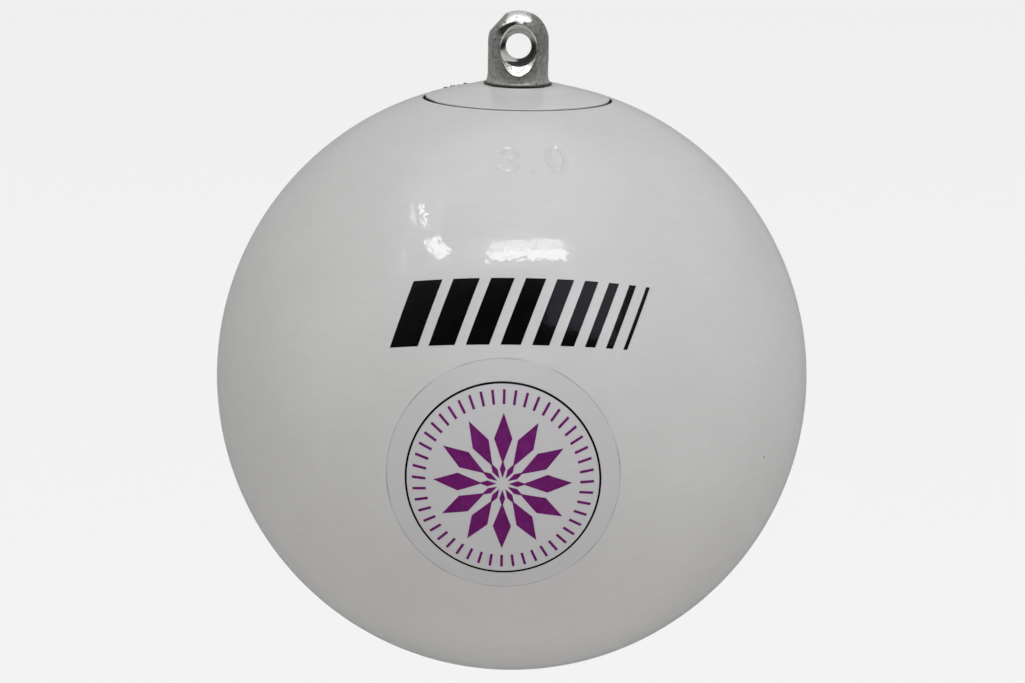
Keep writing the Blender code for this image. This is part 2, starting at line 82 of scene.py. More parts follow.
camera_data = bpy.data.cameras.new("camera")
camera_data.sensor_width = SENSOR_WIDTH
camera_data.lens = focal_pixels * SENSOR_WIDTH / IMAGE_WIDTH
camera = bpy.data.objects.new("camera", camera_data)
bpy.context.scene.collection.objects.link(camera)
view_turn = Matrix((view_right, view_up, view_back)).transposed().to_4x4()
camera.matrix_world = Matrix.Translation(view_point) @ view_turn
bpy.context.scene.camera = camera
bpy.context.scene.view_settings.view_transform = "Standard"


def on_ball(pixel):
    """The direction from the ball's centre to the point of its surface that is seen at a pixel."""
    ray = view_right * (pixel[0] - IMAGE_WIDTH / 2) + view_up * (IMAGE_HEIGHT / 2 - pixel[1])
    ray = (ray - view_back * focal_pixels).normalized()
    offset = view_point - BALL_CENTRE
    along = offset.dot(ray)
    depth = -along - math.sqrt(along**2 - offset.length_squared + PAINTED_RADIUS**2)
    return (offset + ray * depth).normalized()


# The ball
# One ball of grey iron, turned all over, with a threaded bore for the plug and a narrower chamber under it.
# Its number is stamped beside the bore before painting, so the paint rounds the strokes. The thick gloss
# enamel was broken along the lip when the plug was last unscrewed.
ENAMEL_TINTS = ("#CACAC9", "#D0D0CF")
ENAMEL_IOR = 1.48
ENAMEL_ROUGHNESS = (0.02, 0.04)
MOTTLE_LENGTH = 20 * MM
PEEL_LENGTH = 1.2 * MM  # real orange peel is about half as long, which wouldn't show
PEEL_DEPTH = 0.021 * MM
WAVE_LENGTH = 4.5 * MM
WAVE_DEPTH = 0.014 * MM
SMEAR_LENGTH = 9 * MM
BARE_TINTS = ("#171513", "#3A342F")
BARE_ROUGHNESS = 0.8
RUST_LENGTH = 0.5 * MM
GRAIN_TINT = "#BCBCBB"
GRAIN_LENGTH = 0.45 * MM  # coarser than the turning lines under real paint, which wouldn't show
GRAIN_SHAPE = (0.12, 0.12, 1.0)  # drawn out round the ball, as it was turned
GRAIN_SHARE = 0.2
NICKS = (((764, 457), 0.16 * MM), ((786, 289), 0.13 * MM))  # where each is seen, and its radius
LIP_RADIUS = 14.30 * MM
LIP_ROUND = 0.22 * MM
PAINT_DEPTH = 0.13 * MM
SEAM_COLUMNS = 720
BALL_COLUMNS = 180
BORE_COLUMNS = 96
THREAD_PITCH = 1.5 * MM
THREAD_DEPTH = 0.8 * MM
THREAD_CREST = 14.0 * MM
THREAD_GAP = 0.05 * MM  # the plug is this much smaller, and the bore this much larger
THREAD_ROWS = 8  # rows of the mesh for each turn
THREAD_TOP = 2.4 * MM  # below the lip
PLUG_GAP = 0.3 * MM  # from the plug's lower end to the bore's shoulder
CLEARANCE = 0.1 * MM  # round what lies in the bore and in the plug's pocket
CHAMFER = 0.3 * MM
STAMP_PIXELS = ((507.9, 159.3), (532.0, 170.5), (556.5, 158.5))
STAMP_HEIGHT = 5.0 * MM  # of the strokes' middle lines
STAMP_WIDTH = 2.6 * MM
STAMP_STROKE = 0.50 * MM  # from a stroke's middle to its edge
STAMP_ROUND = 0.07 * MM
STAMP_STEEPNESS = 1.22  # makes up for the rounding
STAMP_PATCH = (7.2 * MM, 3.6 * MM)  # half width and half height of the finely meshed part
GLINT_PIXEL = (527, 252)  # where the ball shows the tubes
UNDER_SKIN = 0.12 * MM  # deeper under the painted outline than this, the iron is bare
CHIP_GRAIN = 0.7 * MM
CHIP_FEATHER = 0.09 * MM
FINE_STEP = 0.11 * MM
ROW_STEP = math.radians(2.0)
# Each chip's middle and half length in degrees, its width in millimetres, and how broken it is.
CHIPS = (
    (192.0, 26.0, 0.14, 0.0),
    (-6.0, 16.0, 0.07, 0.0),
    (134.0, 12.0, 0.35, 0.7),
    (68.0, 4.0, 0.30, 0.3),
)


def linear(hex_colour):
    """The linear colour of an sRGB hex value."""
    channels = [int(hex_colour[i : i + 2], 16) / 255 for i in (1, 3, 5)]
    return [c / 12.92 if c <= 0.04045 else ((c + 0.055) / 1.055) ** 2.4 for c in channels] + [1.0]


def join(tree, made, inputs):
    """Sets a node's inputs: to values, or to outputs of other nodes, where a node means its first one."""
    for name, value in inputs.items():
        if isinstance(value, bpy.types.Node):
            value = value.outputs[0]
        if isinstance(value, bpy.types.NodeSocket):
            tree.links.new(value, made.inputs[name])
        else:
            made.inputs[name].default_value = value


def node(tree, kind, inputs=(), **settings):
    """Adds a node with its settings, and joins its inputs."""
    made = tree.nodes.new(kind)
    for name, value in settings.items():
        setattr(made, name, value)
    join(tree, made, dict(inputs))
    return made


def blank_material(name):
    """A material, its node tree, its shader and the place on the piece."""
    made = bpy.data.materials.new(name)
    made.use_nodes = True
    tree = made.node_tree
    return made, tree, tree.nodes["Principled BSDF"], node(tree, "ShaderNodeTexCoord").outputs["Object"]


def blend(tree, share, first, second):
    """A colour between two, each of them a hex value or an output."""
    ends = [linear(end) if isinstance(end, str) else end for end in (first, second)]
    return node(tree, "ShaderNodeMix", {0: share, 6: ends[0], 7: ends[1]}, data_type="RGBA").outputs[2]


def wandering(tree, place, length, low, high):
    """A number that wanders between two values, over patches of about the given length."""
    patches = node(tree, "ShaderNodeTexNoise", {"Vector": place, "Scale": 1 / length, "Detail": 5.0})
    # Nearly all that the noise gives lies between 0.3 and 0.7.
    spread = {"Value": patches, "From Min": 0.3, "From Max": 0.7, "To Min": low, "To Max": high}
    return node(tree, "ShaderNodeMapRange", spread)


def mottled(tree, place, length, tints):
    """A colour that wanders between two tints, over patches of about the given length."""
    return blend(tree, wandering(tree, place, length, 0.0, 1.0), *tints)


def bumps(tree, place, layers):
    """A shader's normal from layers of noise, each of a length, a depth and a fineness."""
    normal = {}
    for length, depth, detail in layers:
        height = node(tree, "ShaderNodeTexNoise", {"Vector": place, "Scale": 1 / length, "Detail": detail})
        normal = {"Normal": node(tree, "ShaderNodeBump", {"Height": height, "Distance": depth, **normal})}
    return normal


def gloss_coat(name, tints, layers, roughness):
    """A glossy pale coat, broken to dark iron or dirt where the mesh's attribute "bare" says so."""
    made, tree, shader, place = blank_material(name)
    bare = node(tree, "ShaderNodeAttribute", attribute_name="bare").outputs["Fac"]
    for pixel, radius in NICKS:
        spot = BALL_CENTRE + on_ball(pixel) * PAINTED_RADIUS
        away = node(tree, "ShaderNodeVectorMath", {0: place, 1: spot}, operation="DISTANCE").outputs["Value"]
        nick = node(tree, "ShaderNodeMath", {0: away, 1: radius}, operation="LESS_THAN")
        bare = node(tree, "ShaderNodeMath", {0: bare, 1: nick}, operation="MAXIMUM")
    coat = mottled(tree, place, MOTTLE_LENGTH, tints)
    drawn = node(tree, "ShaderNodeVectorMath", {0: place, 1: GRAIN_SHAPE}, operation="MULTIPLY")
    coat = blend(tree, wandering(tree, drawn, GRAIN_LENGTH, 0.0, GRAIN_SHARE), coat, GRAIN_TINT)
    iron = mottled(tree, place, RUST_LENGTH, BARE_TINTS)
    smear = wandering(tree, place, SMEAR_LENGTH, *roughness)
    rough = node(tree, "ShaderNodeMix", {0: bare, 2: smear, 3: BARE_ROUGHNESS}, data_type="FLOAT")
    looks = {"Base Color": blend(tree, bare, coat, iron), "Roughness": rough, "IOR": ENAMEL_IOR}
    join(tree, shader, looks | bumps(tree, place, layers))
    return made


def even(count, start=0.0):
    """Angles that are evenly spaced round a full turn."""
    return [start + 2 * math.pi * i / count for i in range(count)]


def arc(centre, radius, start, end, steps):
    """Points (r, z) on an arc; the angles are measured from the outward direction towards +Z."""
    turn = [start + (end - start) * i / steps for i in range(steps + 1)]
    return [(centre[0] + radius * math.cos(a), centre[1] + radius * math.sin(a)) for a in turn]


def finished(name, shape):
    """An object from a bmesh, shaded smooth, with its origin at the frame's."""
    mesh = bpy.data.meshes.new(name)
    shape.to_mesh(mesh)
    shape.free()
    mesh.shade_smooth()
    piece = bpy.data.objects.new(name, mesh)
    bpy.context.scene.collection.objects.link(piece)
    return piece


def stitch(shape, upper, lower):
    """Fills the band between two rings of points, each with its own angles."""
    (above, above_at), (below, below_at) = upper, lower
    above_turns = len(above) if len(above) > 1 else 0
    below_turns = len(below) if len(below) > 1 else 0
    i = j = 0
    while i < above_turns or j < below_turns:
        next_above = next_below = math.inf
        if i < above_turns:
            next_above = above_at[(i + 1) % above_turns] + 2 * math.pi * ((i + 1) // above_turns)
        if j < below_turns:
            next_below = below_at[(j + 1) % below_turns] + 2 * math.pi * ((j + 1) // below_turns)
        corners = [above[i % len(above)], below[j % len(below)]]
        step_below = next_below < next_above + 1e-6
        step_above = next_above < next_below + 1e-6
        j += step_below
        i += step_above
        if step_below:
            corners.append(below[j % len(below)])
        if step_above:
            corners.append(above[i % len(above)])
        shape.faces.new(corners)


def turned(name, bands, closed=False):
    """A solid turned round Z. A band is some points (r, z), down the outer side, and their angles."""
    shape = bmesh.new()
    rings = []
    for profile, columns in bands:
        for r, z in profile:
            angles = columns if r > 1e-7 else columns[:1]
            ring = [shape.verts.new((r * math.cos(a), r * math.sin(a), z)) for a in angles]
            rings.append((ring, angles))
    for upper, lower in zip(rings, rings[1:] + rings[:1] if closed else rings[1:]):
        stitch(shape, upper, lower)
    return finished(name, shape)


def points_of(mesh, what="co"):
    """Where a mesh's points are, or another vector that each of them has."""
    flat = np.empty(len(mesh.vertices) * 3, np.float32)
    mesh.vertices.foreach_get(what, flat)
    return flat.reshape(-1, 3).astype(float)


def move_points(mesh, points):
    """Puts a mesh's points at new places."""
    mesh.vertices.foreach_set("co", points.astype(np.float32).ravel())
    mesh.update()


def store(mesh, name, values):
    """Stores a number for each point of a mesh, for its material."""
    mesh.attributes.new(name, "FLOAT", "POINT").data.foreach_set("value", values.astype(np.float32))


def ease(value):
    """0 below 0, 1 above 1, and smooth between them."""
    value = np.clip(value, 0.0, 1.0)
    return value * value * (3 - 2 * value)


def cut_thread(mesh, levels, crest, depth, pitch, limits):
    """Winds a V thread into the rows of a turned mesh between two levels, with a run-out at each end."""
    points = points_of(mesh)
    radius = np.hypot(points[:, 0], points[:, 1])
    top, bottom = levels
    here = (points[:, 2] < top) & (points[:, 2] > bottom) & (radius > limits[0]) & (radius < limits[1])
    turns = (points[:, 2] / pitch - np.arctan2(points[:, 1], points[:, 0]) / (2 * np.pi)) % 1.0
    fade = np.clip(np.minimum(top - points[:, 2], points[:, 2] - bottom) / pitch, 0, 1)
    wanted = crest - depth * np.abs(2 * turns - 1) * fade
    points[:, :2] *= np.where(here, wanted / np.maximum(radius, 1e-9), 1.0)[:, None]
    move_points(mesh, points)


def directions_at(pixel):
    """Outwards, to the right and upwards, where the ball is seen at a pixel."""
    out = on_ball(pixel)
    across = Vector((0, 0, 1)).cross(out).normalized()
    return np.array(out), np.array(across), np.array(out.cross(across))


def level_on_ball(radius):
    """The height of the painted ball's upper half at a distance from its axis."""
    return BALL_CENTRE.z + math.sqrt(PAINTED_RADIUS**2 - radius**2)


def on_profile(polar_angles):
    """Points (r, z) of the painted ball's outline."""
    middle = BALL_CENTRE.z
    return [(PAINTED_RADIUS * math.sin(p), middle + PAINTED_RADIUS * math.cos(p)) for p in polar_angles]


def chipped(points, edge, outwards):
    """How bare each point is, from the chips in the paint on one side of the seam."""
    radius = np.hypot(points[:, 0], points[:, 1])
    azimuth = np.degrees(np.arctan2(points[:, 1], points[:, 0]))
    width = np.zeros(len(points))
    for middle, half, size, broken in CHIPS:
        away = (azimuth - middle + 180) % 360 - 180
        whole = 1 - broken * (np.sin(away * 2.3) > 0.2)
        width = np.maximum(width, size * MM * (1 - ease(np.abs(away) / half)) * whole)
    for i in np.where((width > 0) & (np.abs(radius - edge) < 2 * MM))[0]:
        spot = Vector(points[i]) / CHIP_GRAIN
        width[i] *= 1 + 0.9 * noise.noise(spot) + 0.4 * noise.noise(spot * 3.1)
    return ease((width - (radius - edge) * outwards) / CHIP_FEATHER)


# Sprayed gloss enamel has a hard wet shine, which its waves and orange peel break up, over an even pale
# grey-white. Where it has chipped off, the iron is nearly black and quite dull.
white_enamel = gloss_coat(
    "white_enamel",
    ENAMEL_TINTS,
    ((WAVE_LENGTH, WAVE_DEPTH, 1.0), (PEEL_LENGTH, PEEL_DEPTH, 2.0)),
    ENAMEL_ROUGHNESS,
)

stamp_middle = on_ball(STAMP_PIXELS[1])
stamp_polar = math.acos(on_ball(STAMP_PIXELS[0]).z)
stamp_across = STAMP_PATCH[0] / (PAINTED_RADIUS * math.sin(stamp_polar))
stamp_along = STAMP_PATCH[1] / PAINTED_RADIUS
seam_start = math.atan2(stamp_middle.y, stamp_middle.x) - math.pi
fine_columns = int(2 * stamp_across / (FINE_STEP / (PAINTED_RADIUS * math.sin(stamp_polar))))
side_columns = int((math.pi - stamp_across) / ROW_STEP)
patch_sides = (math.pi - stamp_across, math.pi + stamp_across)
stamp_columns = list(seam_start + np.linspace(0, patch_sides[0], side_columns)[:-1])
stamp_columns += list(seam_start + np.linspace(*patch_sides, fine_columns))
stamp_columns += list(seam_start + np.linspace(patch_sides[1], 2 * math.pi, side_columns)[1:-1])
seam_columns = even(SEAM_COLUMNS, seam_start)
ball_columns = even(BALL_COLUMNS, seam_start)
bore_columns = even(BORE_COLUMNS, seam_start)

plug_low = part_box("swivel_plug")[0]
lead_low, lead_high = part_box("lead_ballast")
lip_level = level_on_ball(LIP_RADIUS + LIP_ROUND)
lip_polar = math.asin((LIP_RADIUS + LIP_ROUND) / PAINTED_RADIUS)
lip_steps = np.array((0.06, 0.12, 0.19, 0.27, 0.36, 0.47, 0.62, 0.9, 1.4)) * MM / PAINTED_RADIUS
shoulder_level = plug_low.z - PLUG_GAP
chamber_radius = lead_high.x + CLEARANCE
thread_levels = (lip_level - THREAD_TOP, shoulder_level + 0.3 * MM)
thread_rows = int((thread_levels[0] - thread_levels[1]) / THREAD_PITCH * THREAD_ROWS)
chamber_profile = [
    (0.0, lead_low.z - CLEARANCE),
    (chamber_radius - CHAMFER, lead_low.z - CLEARANCE),
    (chamber_radius, lead_low.z - CLEARANCE + CHAMFER),
    (chamber_radius, shoulder_level - CHAMFER),
    (chamber_radius + CHAMFER, shoulder_level),
    (THREAD_CREST - THREAD_DEPTH, shoulder_level),
]
chamber_profile += [(THREAD_CREST + THREAD_GAP, z) for z in np.linspace(*thread_levels[::-1], thread_rows)]
lip_levels = (thread_levels[0] + 0.3 * MM, lip_level - 0.9 * MM, lip_level - 0.4 * MM)
lip_profile = [(LIP_RADIUS, z) for z in lip_levels]
lip_centre = (LIP_RADIUS + LIP_ROUND, lip_level - LIP_ROUND)
lip_profile += arc(lip_centre, LIP_ROUND, math.pi, math.pi / 2 + lip_polar / 2, 5)
lip_profile += on_profile(lip_polar + lip_steps)
upper_end = stamp_polar - stamp_along - ROW_STEP / 2
upper_profile = on_profile(np.linspace(lip_polar + 2.2 * MM / PAINTED_RADIUS, upper_end, 6))
stamp_rows = int(2 * stamp_along * PAINTED_RADIUS / FINE_STEP)
stamp_profile = on_profile(np.linspace(stamp_polar - stamp_along, stamp_polar + stamp_along, stamp_rows))
lower_profile = on_profile(np.arange(stamp_polar + stamp_along + ROW_STEP, math.pi - ROW_STEP / 2, ROW_STEP))
lower_profile.append((0.0, BALL_CENTRE.z - PAINTED_RADIUS))

ball = turned(
    "painted_ball",
    (
        (chamber_profile, bore_columns),
        (lip_profile, seam_columns),
        (upper_profile, ball_columns),
        (stamp_profile, stamp_columns),
        (lower_profile, ball_columns),
    ),
)
thread_limits = (THREAD_CREST - THREAD_DEPTH / 2, THREAD_CREST + MM)
cut_thread(ball.data, thread_levels, THREAD_CREST + THREAD_GAP, THREAD_DEPTH, THREAD_PITCH, thread_limits)

bowl = STAMP_HEIGHT / 4
three = arc((0.0, bowl), bowl * 0.95, math.radians(165), math.radians(-80), 40)
three += arc((0.0, -bowl), bowl * 1.05, math.radians(80), math.radians(-165), 40)
nought = [(STAMP_WIDTH / 2 * math.cos(a), STAMP_HEIGHT / 2 * math.sin(a)) for a in even(80)]
ball_points = points_of(ball.data)
below_lip = ball_points[:, 2] < lip_level - 0.3 * MM
bare = chipped(ball_points, LIP_RADIUS, 1) * (ball_points[:, 2] > lip_level - 3 * MM)
ball_points -= np.array(BALL_CENTRE)
from_centre = np.linalg.norm(ball_points, axis=1)
bare = np.maximum(bare, from_centre < PAINTED_RADIUS - UNDER_SKIN)
store(ball.data, "bare", bare)
sunk = PAINT_DEPTH * bare * ~below_lip
# The walls are as steep as the photograph's glints ask: there they face what the ball shows at GLINT_PIXEL.
facing = ball_points @ np.array(on_ball(GLINT_PIXEL)) / from_centre
wall_slope = STAMP_STEEPNESS * np.tan(np.arccos(np.clip(facing, 0.5, 1.0)))
for pixel, strokes in zip(STAMP_PIXELS, (three, [(0.0, 0.0)], nought)):
    out, across, along = directions_at(pixel)
    flat = np.stack([ball_points @ across, ball_points @ along], 1)
    near = (np.abs(flat).max(1) < STAMP_HEIGHT) & (ball_points @ out > PAINTED_RADIUS * 0.9)
    gaps = np.linalg.norm(flat[near][:, None, :] - np.array(strokes)[None, :, :], axis=2).min(1)
    inwards = STAMP_STROKE - np.hypot(gaps, STAMP_ROUND)
    inwards = (inwards + np.hypot(inwards, STAMP_ROUND)) / 2
    sunk[near] = np.maximum(sunk[near], wall_slope[near] * inwards * (gaps < 1.5 * STAMP_STROKE))
ball_points *= (1 - sunk / PAINTED_RADIUS)[:, None]
move_points(ball.data, ball_points + np.array(BALL_CENTRE))
ball.data.materials.append(white_enamel)
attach(ball, "head")
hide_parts("head_ball")


# The plug
# A turned steel plug screwed in flush with the ball and painted over with it. Its threaded body hangs in the
# ball's bore, with a pocket for the bearing underneath and a throat for the bush.
PLUG_RADIUS = 13.96 * MM
SPOT_RADIUS = 5.8 * MM
# Flakes of paint stand up from the rim at the back left: middle and half length in degrees, height in mm.
FLAKE_WIDTH = 0.55 * MM
BURRS = ((142.7, 3.2, 0.21), (135.8, 3.6, 0.35), (130.4, 2.1, 0.41), (125.2, 2.5, 0.52))
BOSS_HEIGHT = 0.2 * MM
BOSS_RADIUS = 9.0 * MM
PLUG_THROAT = 5.05 * MM
race_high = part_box("upper_race")[1]
pocket_radius = race_high.x + CLEARANCE
pocket_level = race_high.z + CLEARANCE

plug_lip = PLUG_RADIUS - LIP_ROUND
plug_lip_polar = math.asin(plug_lip / PAINTED_RADIUS)
spot_polar = math.asin(SPOT_RADIUS / PAINTED_RADIUS)
spot_level = level_on_ball(SPOT_RADIUS)
foot_seat = spot_level + BOSS_HEIGHT
plug_rim = level_on_ball(plug_lip) - LIP_ROUND
rim_steps = np.array((1.1, 0.75, 0.5, 0.36, 0.26, 0.18, 0.11, 0.05)) * MM / PAINTED_RADIUS
plug_levels = (plug_rim - THREAD_TOP + 0.6 * MM, plug_low.z + 0.3 * MM)
plug_rows = int((plug_levels[0] - plug_levels[1]) / THREAD_PITCH * THREAD_ROWS)
crown_profile = [(PLUG_THROAT, spot_level - 0.15 * MM), (PLUG_THROAT + 0.15 * MM, spot_level)]
crown_profile += [(SPOT_RADIUS - 0.1 * MM, spot_level)]
crown_profile += on_profile(np.linspace(spot_polar, plug_lip_polar - 1.8 * MM / PAINTED_RADIUS, 10))
rim_profile = on_profile(plug_lip_polar - rim_steps)
rim_profile += arc((plug_lip, plug_rim), LIP_ROUND, math.pi / 2 - plug_lip_polar, 0.0, 5)
rim_profile += [(PLUG_RADIUS, plug_rim - 0.3 * MM), (PLUG_RADIUS, plug_rim - 0.9 * MM)]
body_profile = [(PLUG_RADIUS, plug_levels[0] + 0.2 * MM)]
body_profile += [(THREAD_CREST - THREAD_GAP, z) for z in np.linspace(*plug_levels, plug_rows)]
body_profile += [
    (THREAD_CREST - THREAD_DEPTH - 0.1 * MM, plug_low.z),
    (pocket_radius + CHAMFER, plug_low.z),
    (pocket_radius, plug_low.z + CHAMFER),
    (pocket_radius, pocket_level),
    (PLUG_THROAT, pocket_level),
]
plug = turned(
    "painted_plug",
    ((crown_profile, ball_columns), (rim_profile, seam_columns), (body_profile, bore_columns)),
    closed=True,
)
cut_thread(plug.data, plug_levels, THREAD_CREST - THREAD_GAP, THREAD_DEPTH, THREAD_PITCH, thread_limits)
plug_points = points_of(plug.data)
from_axis = np.hypot(plug_points[:, 0], plug_points[:, 1])
below_rim = plug_points[:, 2] < plug_rim + 0.05 * MM
bare = chipped(plug_points, PLUG_RADIUS, -1) * (from_axis > PLUG_RADIUS - 3 * MM)
bare = np.maximum(bare, below_rim)
sunk = PAINT_DEPTH * bare * (plug_points[:, 2] > plug_rim)
sunk -= BOSS_HEIGHT * ease((BOSS_RADIUS - from_axis) / (BOSS_RADIUS - SPOT_RADIUS)) * ~below_rim
plug_points -= np.array(BALL_CENTRE)
azimuth = np.degrees(np.arctan2(plug_points[:, 1], plug_points[:, 0]))
at_rim = ease((from_axis - PLUG_RADIUS + FLAKE_WIDTH) / (0.4 * MM)) * ~below_rim
for middle, half, height in BURRS:
    lifted = (1 - ease(np.abs(azimuth - middle) / half * 1.6 - 0.6)) * at_rim
    sunk -= height * MM * lifted
    bare = np.maximum(bare, ease(lifted / 0.1))
store(plug.data, "bare", bare)
plug_points *= (1 - sunk / PAINTED_RADIUS)[:, None]
move_points(plug.data, plug_points + np.array(BALL_CENTRE))
plug.data.materials.append(white_enamel)
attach(plug, "head")
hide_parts("swivel_plug")


# The eye
# The eye is forged on the end of its shank: a round bar with a domed end, a small flared foot, and a wide
# hole that the wire has worn upwards. It is bare steel, dull, pitted, and hammered a little flat on one
# shoulder. Only its hole, which is cut, and its polished crown are bright; the crown's bright patch is a
# painted highlight. Painted shade darkens parts of the hole and the foot, painted light and reflection
# brighten the countersink and the lower body, and the body darkens towards the top.
BAR_RADIUS = 4.6 * MM
DOME_LEVEL = 0.8 * MM
HOLE_THROAT = 1.925 * MM
HOLE_BORE = 2.5 * MM
HOLE_DRAFT = 0.12 * MM
THROAT_LAND = 2.2 * MM
SINK_DEPTH = 1.2 * MM
SINK_ANGLE = math.radians(52)
WORN_RISE = 1.05 * MM  # how far the wire has worn the hole's front side upwards
FOOT_RADIUS = 5.2 * MM
FOOT_FLARE = 1.2 * MM
FOOT_EDGE = 0.1 * MM
FOOT_GAP = 0.1 * MM
SHANK_RADIUS = 4.0 * MM
FORGED_GRID = 0.085 * MM
FLAT_NORMAL = (-0.76, 0.0, 0.65)
FLAT_REACH = 4.72 * MM
FLAT_SHARE = 0.85  # hammered down, of what stood over the flat
LUMPS = ((3.2 * MM, 0.10 * MM), (1.1 * MM, 0.030 * MM), (0.4 * MM, 0.012 * MM))  # lengths and heights
PIT_COUNT = 130
PIT_SIZES = (0.07, 0.24)  # the least radius, and how much more the widest pits have, in millimetres
PIT_DEPTH = 0.07 * MM
PIT_FULL = 0.16 * MM  # smaller pits aren't as deep
CUT_AWAY = (0.75, 0.8)  # the shares of the lumps and of the pits that were cut away with the hole
HOLE_REACH = 4.6 * MM  # from its axis to the edge of its countersink
BORE_EDGE = 2.75 * MM  # from its axis to where the countersink begins
# Painted shade: how dark it makes the bore and the foot.
SHADE_SHARE = 0.88
FOOT_SHADE_RISE = (0.5 * MM, 0.4 * MM)  # over the foot, and how softly it ends
# Painted light on the lower body, stronger towards the foot: where it ends, and how softly.
FOOT_LIGHT_RISE = (3.2 * MM, 2.4 * MM)
FOOT_LIGHT_SHARE = 0.18
# The body is darker towards the top and the right.
DARK_TOP_RISE = (-2.5 * MM, 3.5 * MM)  # where it begins, and how far it grows
DARK_TOP_SHARE = 0.18
DARK_TOP_LEAN = 0.65  # more of it on the right
# Where the countersink's painted reflection begins, and how softly.
SHEEN_RISE = (-0.3 * MM, 0.8 * MM)
RAGGED_LENGTHS = (1.4 * MM, 0.5 * MM)
RAGGED_SHARE = 0.25
# Where the crown is polished and carries a painted highlight.
CROWN = {"left": -0.38, "right": 0.40, "low": 0.64, "back": 0.25}  # of the bar's radius
# Painted light in a patch at the bore's lower left: its lower edge and its slope.
LIT_PATCH_LEVEL = -2.5 * MM
LIT_PATCH_SLOPE = 0.17
# Painted light and shade round the hole: each one's middle, how far it is whole to each side, and its fade,
# in degrees.
LIT_PATCH_SIDE = (-134, 28, 20)
LIT_CEILING = (90, 36, 45)
LIP_SHADE_SIDE = (116, 14.4, 24)
LIP_SHADE_REACH = 4.25 * MM
STEEL_TINTS = ("#7C7B77", "#B2B1AC")
CUT_TINTS = ("#94928E", "#FDFCFA")
# Pale tints of the painted reflection and light.
SHEEN_TINTS = ("#D2D1CD", "#EAE9E5")
# The tint and share of the crown's painted highlight.
HIGHLIGHT_TINT = "#FFFEFC"
HIGHLIGHT_SHARE = 0.65
SCALE_METAL = 0.75  # how metallic the dull skin of scale is
# The tint of the pits and of the painted shade.
PIT_AND_SHADE_TINT = "#34322E"
PIT_ROUGHNESS = 0.75
SCALE_LENGTH = 0.6 * MM
SCALE_ROUGHNESS = (0.22, 0.42)
CUT_LENGTH = 0.28 * MM
CUT_ROUGHNESS = 0.24
GLOSS_LENGTH = 0.8 * MM
STEEL_GRAIN = ((0.9 * MM, 0.02 * MM, 2.0), (0.25 * MM, 0.02 * MM, 2.0))
EYE_COLUMNS = 144
HOLE_COLUMNS = 96
foot_level = foot_seat + FOOT_GAP

eye_profile = arc((0.0, DOME_LEVEL), BAR_RADIUS, math.pi / 2, 0.0, 40)
eye_profile[0] = (0.0, DOME_LEVEL + BAR_RADIUS)
for step in range(9):
    turn = math.pi / 2 * step / 8
    reach = (FOOT_RADIUS - BAR_RADIUS) * (1 - math.cos(turn))
    eye_profile.append((BAR_RADIUS + reach, foot_level + FOOT_EDGE + FOOT_FLARE * (1 - math.sin(turn))))
eye_profile += [(FOOT_RADIUS, foot_level), (SHANK_RADIUS, foot_level)]
eye_profile += [(SHANK_RADIUS, foot_level - 1.0 * MM), (0.0, foot_level - 1.0 * MM)]
eye = turned("forged_eye", ((eye_profile, even(EYE_COLUMNS)),))

rise = HOLE_BORE - HOLE_THROAT
rounding = (THROAT_LAND**2 + rise**2) / (2 * rise)
half_turn = math.asin(THROAT_LAND / rounding)
seat = BAR_RADIUS - SINK_DEPTH
reach = BAR_RADIUS + SINK_DEPTH
mouth = HOLE_BORE + HOLE_DRAFT + (reach - seat) * math.tan(SINK_ANGLE)
hole_profile = [(0.0, reach), (mouth, reach), (HOLE_BORE + HOLE_DRAFT, seat)]
hole_profile += arc((HOLE_THROAT + rounding, 0.0), rounding, math.pi - half_turn, math.pi + half_turn, 14)
hole_profile += [(HOLE_BORE + HOLE_DRAFT, -seat), (mouth, -reach), (0.0, -reach)]
hole = turned("eye_hole", ((hole_profile, even(HOLE_COLUMNS)),))
hole_points = points_of(hole.data)
hole_radius = np.maximum(np.hypot(hole_points[:, 0], hole_points[:, 1]), 1e-9)
upward = np.maximum(hole_points[:, 1] / hole_radius, 0) ** 1.5
hole_points[:, 1] += WORN_RISE * upward * np.clip(hole_points[:, 2] / seat, 0, 1)
move_points(hole.data, hole_points)
hole.rotation_euler.x = math.pi / 2
cut = eye.modifiers.new("hole", "BOOLEAN")
cut.object = hole
grid = eye.modifiers.new("forged", "REMESH")
grid.mode = "VOXEL"
grid.voxel_size = FORGED_GRID
worn = eye.modifiers.new("worn", "SMOOTH")
worn.factor = 0.5
worn.iterations = 3


def bake(piece):
    """Applies a piece's modifiers: its mesh becomes what they made."""
    bpy.context.view_layer.update()
    made = bpy.data.meshes.new_from_object(piece.evaluated_get(bpy.context.evaluated_depsgraph_get()))
    piece.modifiers.clear()
    piece.data = made
    made.shade_smooth()
    return piece


bake(eye)
bpy.data.objects.remove(hole)
eye_points = points_of(eye.data)
eye_x, eye_y, eye_z = eye_points.T  # these change with eye_points
eye_normals = points_of(eye.data, "normal")
from_axis = np.hypot(eye_x, eye_z)
outward = eye_points[:, [0, 2]] / np.maximum(from_axis, 1e-9)[:, None]
facing_hole = -(eye_normals[:, 0] * outward[:, 0] + eye_normals[:, 2] * outward[:, 1])
in_hole = ease((facing_hole - 0.25) / 0.3) * (from_axis < HOLE_REACH)
round_hole = np.degrees(np.arctan2(eye_z, eye_x))


def mark_round_hole(middle, whole, fade):
    """How strong a mark round the hole is at each point of the eye."""
    away = np.abs((round_hole - middle + 180) % 360 - 180)
    return ease((whole + fade - away) / fade)


